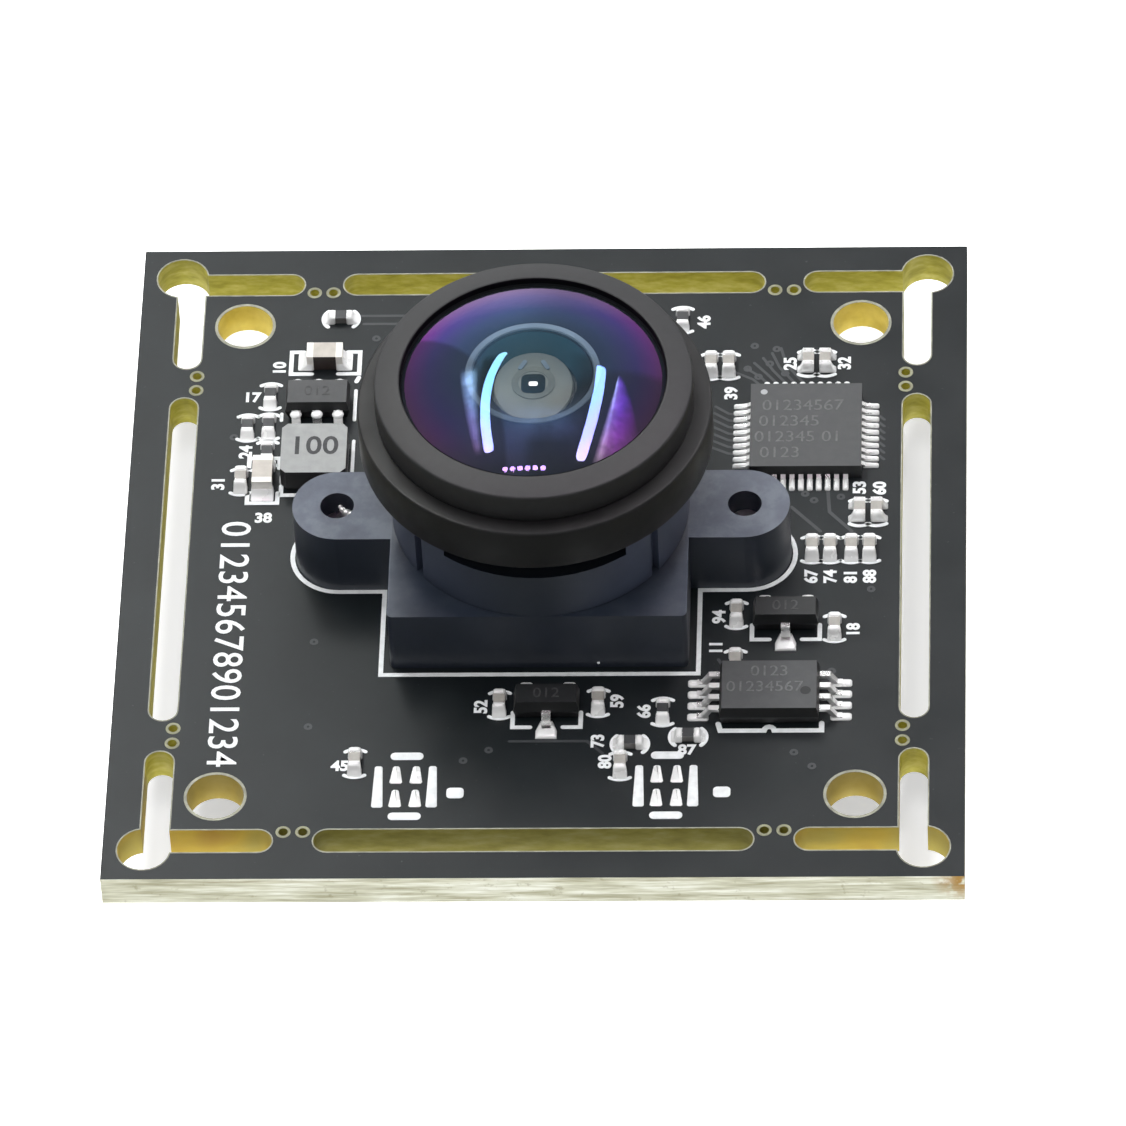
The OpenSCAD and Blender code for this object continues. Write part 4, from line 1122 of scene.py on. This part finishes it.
def inductor_solder():
    """Solder that shows at the inductor's rear edge and beside its foot."""
    bm = bmesh.new()
    low, high = node_box("inductor")
    for x in (low.x + 0.55, high.x - 0.55):
        mound(bm, x, high.y + 0.12, 0.62, 0.36, 0.5)
    for x in (low.x + 0.1, high.x - 0.1):
        mound(bm, x, low.y + 0.6, 0.4, 0.5, 0.3)
    soldered("inductor_solder", bm)


def taper_pad(bm, x, y, w0, w1, length):
    """A tinned pad that narrows to the rear, slightly domed, with its corners cut."""
    cut = 0.07
    rings = []
    for inset, lift in ((0.0, -SUNK), (0.0, 0.02), (0.05, 0.05), (0.12, 0.065)):
        a, b, half = w0 / 2 - inset, w1 / 2 - inset * 0.8, length / 2 - inset
        outline = both_halves([(a - cut, -half), (a, cut - half), (b, half - cut), (b - cut, half)])
        rings.append([(x + px, y + py, TOP + lift) for px, py in outline])
    skin(bm, rings)


def empty_footprints():
    """Two places for a part that isn't fitted: four pads inside four bars, and a mark beside them."""
    pads, bars = bmesh.new(), bmesh.new()
    for cx, side_mark in ((-5.67, 2.18), (5.76, 2.42)):
        for px in (-0.44, 0.44):
            for py in (-12.82, -14.17):
                taper_pad(pads, cx + px, py, 0.56, 0.3, 0.98)
        for px in (-1.22, 1.16):
            taper_pad(bars, cx + px, -13.5, 0.5, 0.34, 2.35)
        for py in (-11.74, -15.18):
            mound(bars, cx, py, 1.45, 0.42, 0.05, r=0.2)
        mound(bars, cx + side_mark, -13.86, 0.76, 0.6, 0.05, r=0.18)
    soldered("empty_pads", pads)
    printed("empty_bars", bars, 50)


def traces():
    """Copper under the mask: fans beside the controller, lines to the small parts and filled holes."""
    bm = bmesh.new()
    c = middle("controller")
    fans = []
    for i in range(6):
        x = c.x - 1.9 + 0.4 * i
        bend = (x - 0.55 - 0.1 * i, c.y + 3.5 + 0.18 * i)
        fans.append([(x, c.y + 2.9), bend, (x - 1.3, c.y + 3.9 + 0.3 * i)])
    for i in range(7):
        y = c.y + 1.3 - 0.4 * i
        fans.append([(c.x - 2.85, y), (c.x - 3.5, y + 0.1), (c.x - 4.1 - 0.05 * i, y + 0.55)])
        fans.append([(c.x + 2.85, y), (c.x + 3.2, y), (c.x + 3.5, y - 0.3)])
    wide = [[(11.0, 2.8), (12.3, 1.35)], [(12.6, 4.0), (12.7, 2.5), (13.7, 1.35)]]
    lines = [[(-9.0, 14.6), (-2.5, 14.6)], [(-8.6, 14.1), (-3.2, 14.1)],
             [(7.9, -6.2), (8.3, -7.0), (8.3, -8.2)], [(-1.2, -10.9), (2.2, -10.9), (2.9, -11.6)]]
    for width, paths in ((0.13, fans), (0.16, wide), (0.14, lines)):
        for path in paths:
            stroke(bm, path, width, thick=0.006)
    for x, y in ((-10.05, -5.05), (-10.1, -10.0), (8.9, 11.2), (9.4, 10.7), (9.9, 11.5), (10.6, 10.9),
                 (11.6, 3.6), (12.0, 3.2), (13.2, 3.4), (11.3, -11.6), (12.1, -12.4), (9.2, 12.6),
                 (10.2, 12.4), (-3.2, -12.0), (-2.1, -11.4), (14.6, -2.1), (12.9, -6.9), (-14.2, 7.2),
                 (-8.0, 13.2)):
        stroke(bm, arc(x, y, 0.13, 0, 330, 11), 0.12, thick=0.01, closed=True)
    finish_mesh("traces", bm, TRACE)


def board_numbers():
    """Small printed numbers beside the parts, and a plain row of digits down the left side."""
    spots = (
        (-12.3, 11.4, 90), (-13.5, 9.6, 0), (-13.6, 6.3, 90), (-14.75, 4.4, 90), (-12.65, 2.3, 0),
        (-8.6, -12.3, 0), (-2.5, -8.9, 90), (3.5, -8.6, 90), (4.7, -9.2, 90), (2.7, -10.9, 90),
        (3.05, -12.1, 90), (6.6, -11.45, 0), (7.9, -3.7, 90), (7.8, -5.5, 90), (13.85, -4.5, 90),
        (10.85, 11.5, 90), (13.3, 11.5, 90), (8.2, 9.7, 90), (6.9, 14.1, 90), (14.05, 3.95, 90),
        (14.95, 3.9, 90), (11.95, -1.35, 90), (12.8, -1.35, 90), (13.7, -1.35, 90), (14.55, -1.35, 90),
    )
    bm = bmesh.new()
    for i, (x, y, turn) in enumerate(spots):
        digits(bm, str(10 + (i * 7) % 90), x, y, TOP, 0.78, turn, weight=0.03)
    digits(bm, "012345678901234", -13.9, -5.1, TOP, 1.86, -90, spacing=1.04, weight=0.008)
    number_piece("board_numbers", bm, SILK)


def face_of(node):
    """Middle of a node's upper face."""
    spot = middle(node)
    return spot.x, spot.y, node_box(node)[1].z


def chip_numbers():
    """Faint plain numbers on the chips, and dark ones on the inductor."""
    bm = bmesh.new()
    x, y, top = face_of("controller")
    rows = (("01234567", -0.15), ("012345", -0.75), ("012345 01", -0.35), ("0123", -1.15))
    for row, (text, aside) in enumerate(rows):
        digits(bm, text, x + aside, y + 1.15 - 0.95 * row, top, 0.92)
    x, y, top = face_of("memory_chip")
    digits(bm, "0123", x, y + 0.75, top, 0.85)
    digits(bm, "01234567", x - 0.2, y - 0.15, top, 0.85)
    number_piece("chip_numbers", bm, FAINT)
    bm = bmesh.new()
    for node in ("side_regulator", "lower_regulator", "converter"):
        digits(bm, "012", *face_of(node), 0.8)
    number_piece("dim_chip_numbers", bm, FAINTER)
    bm = bmesh.new()
    x, y, top = face_of("inductor")
    digits(bm, "100", x, y + 0.1, top, 1.5, weight=0.02)
    number_piece("inductor_numbers", bm, DARK_INK)


def disc(name, x, y, r, low, high, material):
    """A thin round mark on a chip, a little narrower above."""
    bm = bmesh.new()
    skin(bm, [[(px, py, low) for px, py in arc(x, y, r, 0, 345, 23)],
              [(px, py, high) for px, py in arc(x, y, r - 0.01, 0, 345, 23)]])
    finish_mesh(name, bm, material)


def chip_dots():
    """Pin-one dot on the controller and the moulded dimple on the memory chip."""
    x, y, top = face_of("controller")
    disc("controller_dot", x - 1.9, y + 2.0, 0.16, top - 0.005, top + 0.008, SILK_DIM)
    high = node_box("memory_chip")[1]
    disc("memory_dimple", high.x - 0.6, high.y - 1.85, 0.24, high.z - 0.004, high.z + 0.004, CHIP_DARK)


# ---- lens ------------------------------------------------------------------


def dressed_barrel():
    """The turned barrel with softened edges and a fine thread below its flange."""
    low, high = (corner.z for corner in node_box("lens_barrel"))
    flange_low, flange_high = TOP + 7.9, TOP + 10.15
    r_flange, r_body, r_neck, r_spigot, r_bore = 7.8, 5.97, 5.62, 6.5, 3.2
    seat, shelf = TOP + 10.352, TOP + 8.5
    thread_end, pitch, depth = TOP + 7.2, 0.5, 0.16
    thread = []
    for turn in range(math.ceil((thread_end - low) / pitch)):
        z = low + turn * pitch
        thread += [(r_body, z + 0.1), (r_body - depth, z + 0.25), (r_body, z + 0.4)]
    flange = soften([(r_neck, flange_low), (r_flange, flange_low), (r_flange, flange_high),
                     (r_spigot, flange_high)], 0.16)
    profile = [(r_bore, low)] + thread + [(r_neck, TOP + 7.5), (r_neck, flange_low)]
    profile += [p for p in flange if p[0] > 6.6]
    profile += [(r_spigot, flange_high), (r_spigot, high - 0.01), (6.12, high - 0.01), (6.12, seat),
                (4.92, seat), (4.92, shelf), (4.3, shelf), (4.3, low + 0.5), (r_bore, low + 0.5)]
    turned("barrel", profile, BLACK, 160, 30, replaces=("lens_barrel",))


def dressed_ring():
    """The front ring with a softened outer edge and a matt face."""
    low, high = node_box("front_ring")
    r, bore, lip = high.x, 6.53, 5.86
    profile = [(bore, low.z), (r, low.z), (r, high.z - 0.25), (lip, high.z), (lip, high.z - 0.6),
               (bore, high.z - 0.6)]
    turned("ring", soften(profile, 0.11, 4), RING_BLACK, 192, 40, replaces=("front_ring",))


def lip_wall():
    """The black inner wall of the front ring, down to the glass."""
    top = node_box("front_ring")[1].z
    profile = [(5.865, top - 0.035), (5.845, top - 0.03), (5.845, top - 0.34), (5.865, top - 0.34)]
    turned("lip_wall", profile, INNER_BLACK, 160, 30)


def front_glass():
    """The coated front dome, closed below by a clear face."""
    top = dome(DOME_R, GLASS_R, GLASS_EDGE_Z, 28)
    under = [(r, z - 0.12) for r, z in reversed(top)]
    piece = turned("front_glass", top + under, COAT, 160, 40, lathe_cap, ("front_element",))
    piece.data.materials.append(UNDER_GLASS)
    for face in piece.data.polygons:
        if face.normal.z < 0.05:
            face.material_index = 1


def well_and_rim():
    """Seen through the front glass: the black seat, the second element's bright rim and the dark well."""
    z, floor = RIM_Z, WELL_Z
    slope = [(2.98, z), (5.80, TOP + 11.30), (5.80, TOP + 11.2), (2.60, TOP + 11.80), (2.60, z - 0.06)]
    turned("dark_slope", slope, DEPTH_BLACK, 128, 30)
    rim = soften([(2.66, z - 0.04), (2.98, z - 0.04), (2.96, z + 0.05), (2.70, z + 0.05)], 0.02)
    turned("second_rim", rim, RIM_LIGHT, 128, 30)
    well = [(2.66, z - 0.04), (1.9, floor), (1.9, floor - 0.05), (2.7, z - 0.1)]
    turned("dark_well", well, WELL, 128, 30)


def third_face():
    """The pale face at the foot of the well, a little oval and off the axis, with the stop's ring on it."""
    bm = bmesh.new()
    rows = ((0, 0.30), (0.6, 0.29), (1.3, 0.2), (1.75, 0.05), (1.8, -0.04), (0, -0.05))
    lathe_cap(bm, [(r, WELL_Z + lift) for r, lift in rows], 96)
    for vert in bm.verts:
        vert.co.y = vert.co.y * 1.17 + 0.18 * MM
        vert.co.x = vert.co.x * 0.97 + 0.11 * MM
    finish_mesh("third_face", bm, GREY_DISC, 40)
    ring = ((0.66, -0.02), (0.96, -0.03), (0.96, 0.0), (0.66, 0.012))
    turned("stop_ring", [(r, PUPIL_Z + lift) for r, lift in ring], STOP_GREY, 96, 40)


def lens_plate(name, outlines, low, high, material):
    """Thin flat plates in the pupil's plane."""
    bm = bmesh.new()
    for outline in outlines:
        slab(bm, outline, PUPIL_Z + low, PUPIL_Z + high)
    finish_mesh(name, bm, material, 40)


def pupil_and_glints():
    """The pupil, the bright painted glint on it that glows, and the two faint painted inner glints."""
    pupil = place(rounded_rect(1.06, 1.12, 0.3, 5), 0, -0.08)
    lens_plate("pupil", [pupil], -0.01, 0.025, INNER_BLACK)
    glint = place(rounded_rect(0.38, 0.23, 0.07, 3), 0, -0.1)
    lens_plate("pupil_glint", [glint], 0.02, 0.04, GLINT)
    pair = [place(rounded_rect(0.2, 0.6, 0.08, 3), way * 0.5, 1.05, way * 28) for way in (-1, 1)]
    lens_plate("inner_glints", pair, -0.03, 0.015, RIM_LIGHT)


def holder_specks():
    """Burr of metal in the left ear's hole, and a grain of dust on the front wall."""
    bm = bmesh.new()
    for dx, dy, drop, size in ((0.80, -0.16, 0.60, 0.20), (0.60, -0.05, 0.56, 0.22), (0.38, 0.06, 0.54, 0.20),
                               (0.20, 0.22, 0.52, 0.15), (0.10, 0.38, 0.50, 0.11)):
        blob(bm, dx - EAR_X, dy, TOP + BASE_H - drop, size, size * 0.9, size * 0.8)
    finish_mesh("screw_tip", bm, TIN, 60)
    bm = bmesh.new()
    blob(bm, 2.62, -BASE - 0.02, TOP + 0.3, 0.07, 0.05, 0.07)
    printed("dust_grain", bm, 60)


for on_front in (True, False):
    bare_rims(on_front)
for on_front in (True, False):
    bite_rings(on_front)
holder_outline()
chip_brackets()
end_marks()
large_capacitor_marks()
small_part_solder()
large_part_solder()
lead_solder("memory_solder", "memory_chip", 0.42, 0.95, 0.42, 0.13)
lead_solder("lower_regulator_solder", "lower_regulator", 0.6, 0.7, 0.3, 0.12)
lead_solder("side_regulator_solder", "side_regulator", 0.6, 0.7, 0.3, 0.12)
lead_solder("converter_solder", "converter", 0.6, 0.6, 0.22, 0.12)
controller_solder()
converter_shoulders()
regulator_pads()
inductor_solder()
empty_footprints()
traces()
board_numbers()
chip_numbers()
chip_dots()
dressed_barrel()
dressed_ring()
lip_wall()
front_glass()
well_and_rim()
third_face()
pupil_and_glints()
holder_specks()
